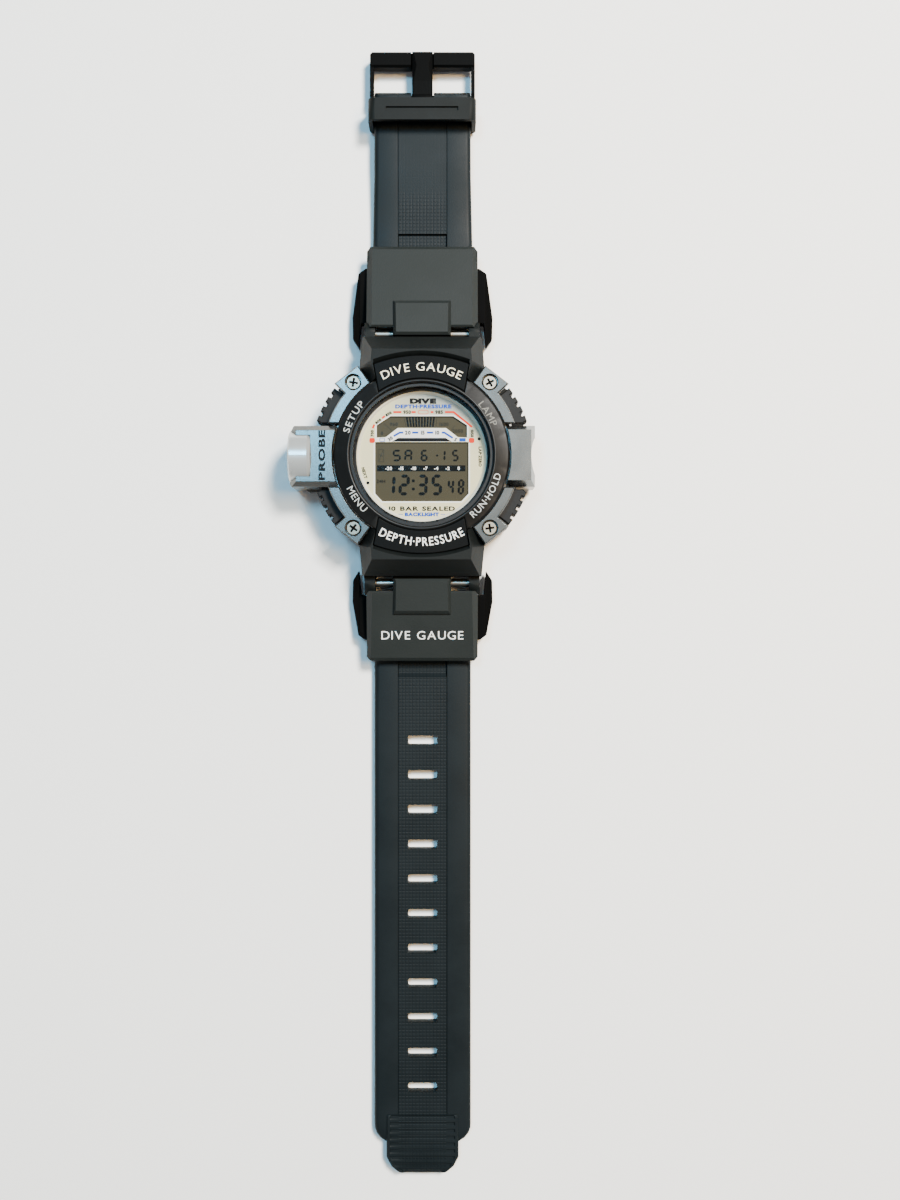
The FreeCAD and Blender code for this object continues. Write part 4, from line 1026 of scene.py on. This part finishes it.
def digit(bm, letter, x, y, width, height, bar):
    """One character whose bars run round a box with its lower left corner at x, y."""
    half = height / 2
    gap = bar * 0.1
    lines = {"a": ((0, height), (width, height)), "b": ((width, height), (width, half)),
             "c": ((width, half), (width, 0)), "d": ((0, 0), (width, 0)), "e": ((0, half), (0, 0)),
             "f": ((0, height), (0, half)), "g": ((0, half), (width, half))}
    for name in SEGMENTS[letter]:
        a, b = (Vector(p) for p in lines[name])
        along = (b - a).normalized()
        side = Vector((-along.y, along.x)) * bar / 2
        a = a + along * gap
        b = b - along * gap
        tip = along * bar / 2
        shape = [a, a + tip + side, b - tip + side, b, b - tip - side, a + tip - side]
        polygon(bm, [(x + p.x + SLANT * p.y, y + p.y) for p in shape], LCD_TOP, SHOWN)


def display_ink(bm):
    for letter, x, width in (("S", -6.3, 1.4), ("A", -3.7, 1.3), ("6", -0.1, 1.1), ("-", 2.95, 0.7),
                             ("1", 3.9, 1.05), ("5", 6.8, 1.05)):
        digit(bm, letter, x, -0.78, width, 2.14, 0.42)
    for letter, x in (("1", -8.0), ("2", -4.85), ("3", -0.85), ("5", 2.35)):
        digit(bm, letter, x, -8.16, 1.68, 3.9, 0.7)
    for letter, x in (("4", 5.85), ("8", 8.1)):
        digit(bm, letter, x, -8.08, 0.92, 2.9, 0.5)
    for level in (-7.1, -5.3):
        polygon(bm, [(-1.9 + x, level + y) for x, y in rounded_outline(0.3, 0.3, 0.1)], LCD_TOP, SHOWN)
    for tick in range(10):
        foot = -3.0 + 0.6 * tick
        stroke(bm, [(foot, 6.6), (foot * 1.12, 8.8)], 0.36, LCD_TOP, SHOWN)
    word_straight(bm, "24H", 0.75, (-9.05, -5.4), SHOWN, weight=0.02, thickness=INK)


def display_lines(bm):
    for line in ([(-8.4, 7.4), (-6.4, 5.6)], [(-3.9, 8.6), (-3.5, 6.6)], [(3.3, 8.7), (3.1, 6.6)],
                 [(7.3, 6.9), (6.5, 5.9)]):
        stroke(bm, line, 0.1, LCD_TOP, SHOWN)
    for text, x, y in (("0", -8.8, 5.2), ("960", -6.2, 7.2), ("1600", 4.9, 7.2), ("2050", 7.9, 5.7)):
        word_straight(bm, text, 0.74, (x, y), SHOWN, weight=0.05, thickness=INK)
    outlined(bm, -9.05, 0.25, 0.6, 1.35, 0.1, 0.1, LCD_TOP, SHOWN)
    stroke(bm, [(-9.5, -0.9), (-8.6, 1.4)], 0.14, LCD_TOP, SHOWN)
    stroke(bm, [(-9.5, 0.55), (-8.6, 0.1)], 0.14, LCD_TOP, SHOWN)


def scale_bar(bm):
    polygon(bm, [(-9.9, -3.19), (9.6, -3.19), (9.6, -1.88), (-9.9, -1.88)], LCD_TOP, SHOWN)


def scale_numbers(bm):
    for text, x in (("-20", -7.35), ("-15", -4.6), ("-10", -1.84), ("-7", 0.77), ("-4", 3.15), ("-2", 5.68),
                    ("0", 8.13)):
        word_straight(bm, text, 0.7, (x, -2.53), SHOWN + INK / 2, weight=0.035, thickness=INK)


ink_piece("display_digits", lcd_ink, display_ink)
ink_piece("display_lines", ghost_ink, display_lines)
ink_piece("display_bar", lcd_ink, scale_bar)
ink_piece("display_bar_numbers", ink_white, scale_numbers)


# %% [markdown]
# The slotted side's link carries one printed word. The link slopes down towards the strap, so the
# word is tipped to lie on it.

# %% Word on the link
LINK_WORD_Y = -39.4
COVER_TOP = (-30.0, 8.4)               # the link's cover falls from this place and height
COVER_FOOT = (box_mm("link_6")[0][1] + 0.7, 5.95)
slope = math.atan2(COVER_TOP[1] - COVER_FOOT[1], COVER_TOP[0] - COVER_FOOT[0])
link_z = COVER_FOOT[1] + math.tan(slope) * (LINK_WORD_Y - COVER_FOOT[0])
link_word = bmesh.new()
word_straight(link_word, "DIVE GAUGE", 1.95, (0, 0), 0.03, length=18.2, weight=0.0)
bmesh.ops.transform(link_word, verts=link_word.verts, matrix=Matrix.Translation((0, LINK_WORD_Y, link_z)) @
                    Matrix.Rotation(slope, 4, "X"))
finished("link_word", link_word, ink_white, body="link_6")
print("link slopes", round(math.degrees(slope), 1), "degrees")

# %% [markdown]
# ## Table
# A plain pale sheet of studio paper lies under the instrument. It is flat and far wider than the
# view, so a grid is enough.

# %% Floor
floor_bm = bmesh.new()
bmesh.ops.create_grid(floor_bm, x_segments=2, y_segments=2, size=1500.0)
bmesh.ops.translate(floor_bm, vec=(0, 0, -0.05), verts=floor_bm.verts)
floor_bm.transform(Matrix.Scale(MM, 4))
floor_mesh = bpy.data.meshes.new("studio_floor")
floor_bm.to_mesh(floor_mesh)
floor_bm.free()
floor_mesh.materials.append(new_finish("studio_paper", "#fffefb", 0.8)[0])
floor = bpy.data.objects.new("studio_floor", floor_mesh)
bpy.context.scene.collection.objects.link(floor)
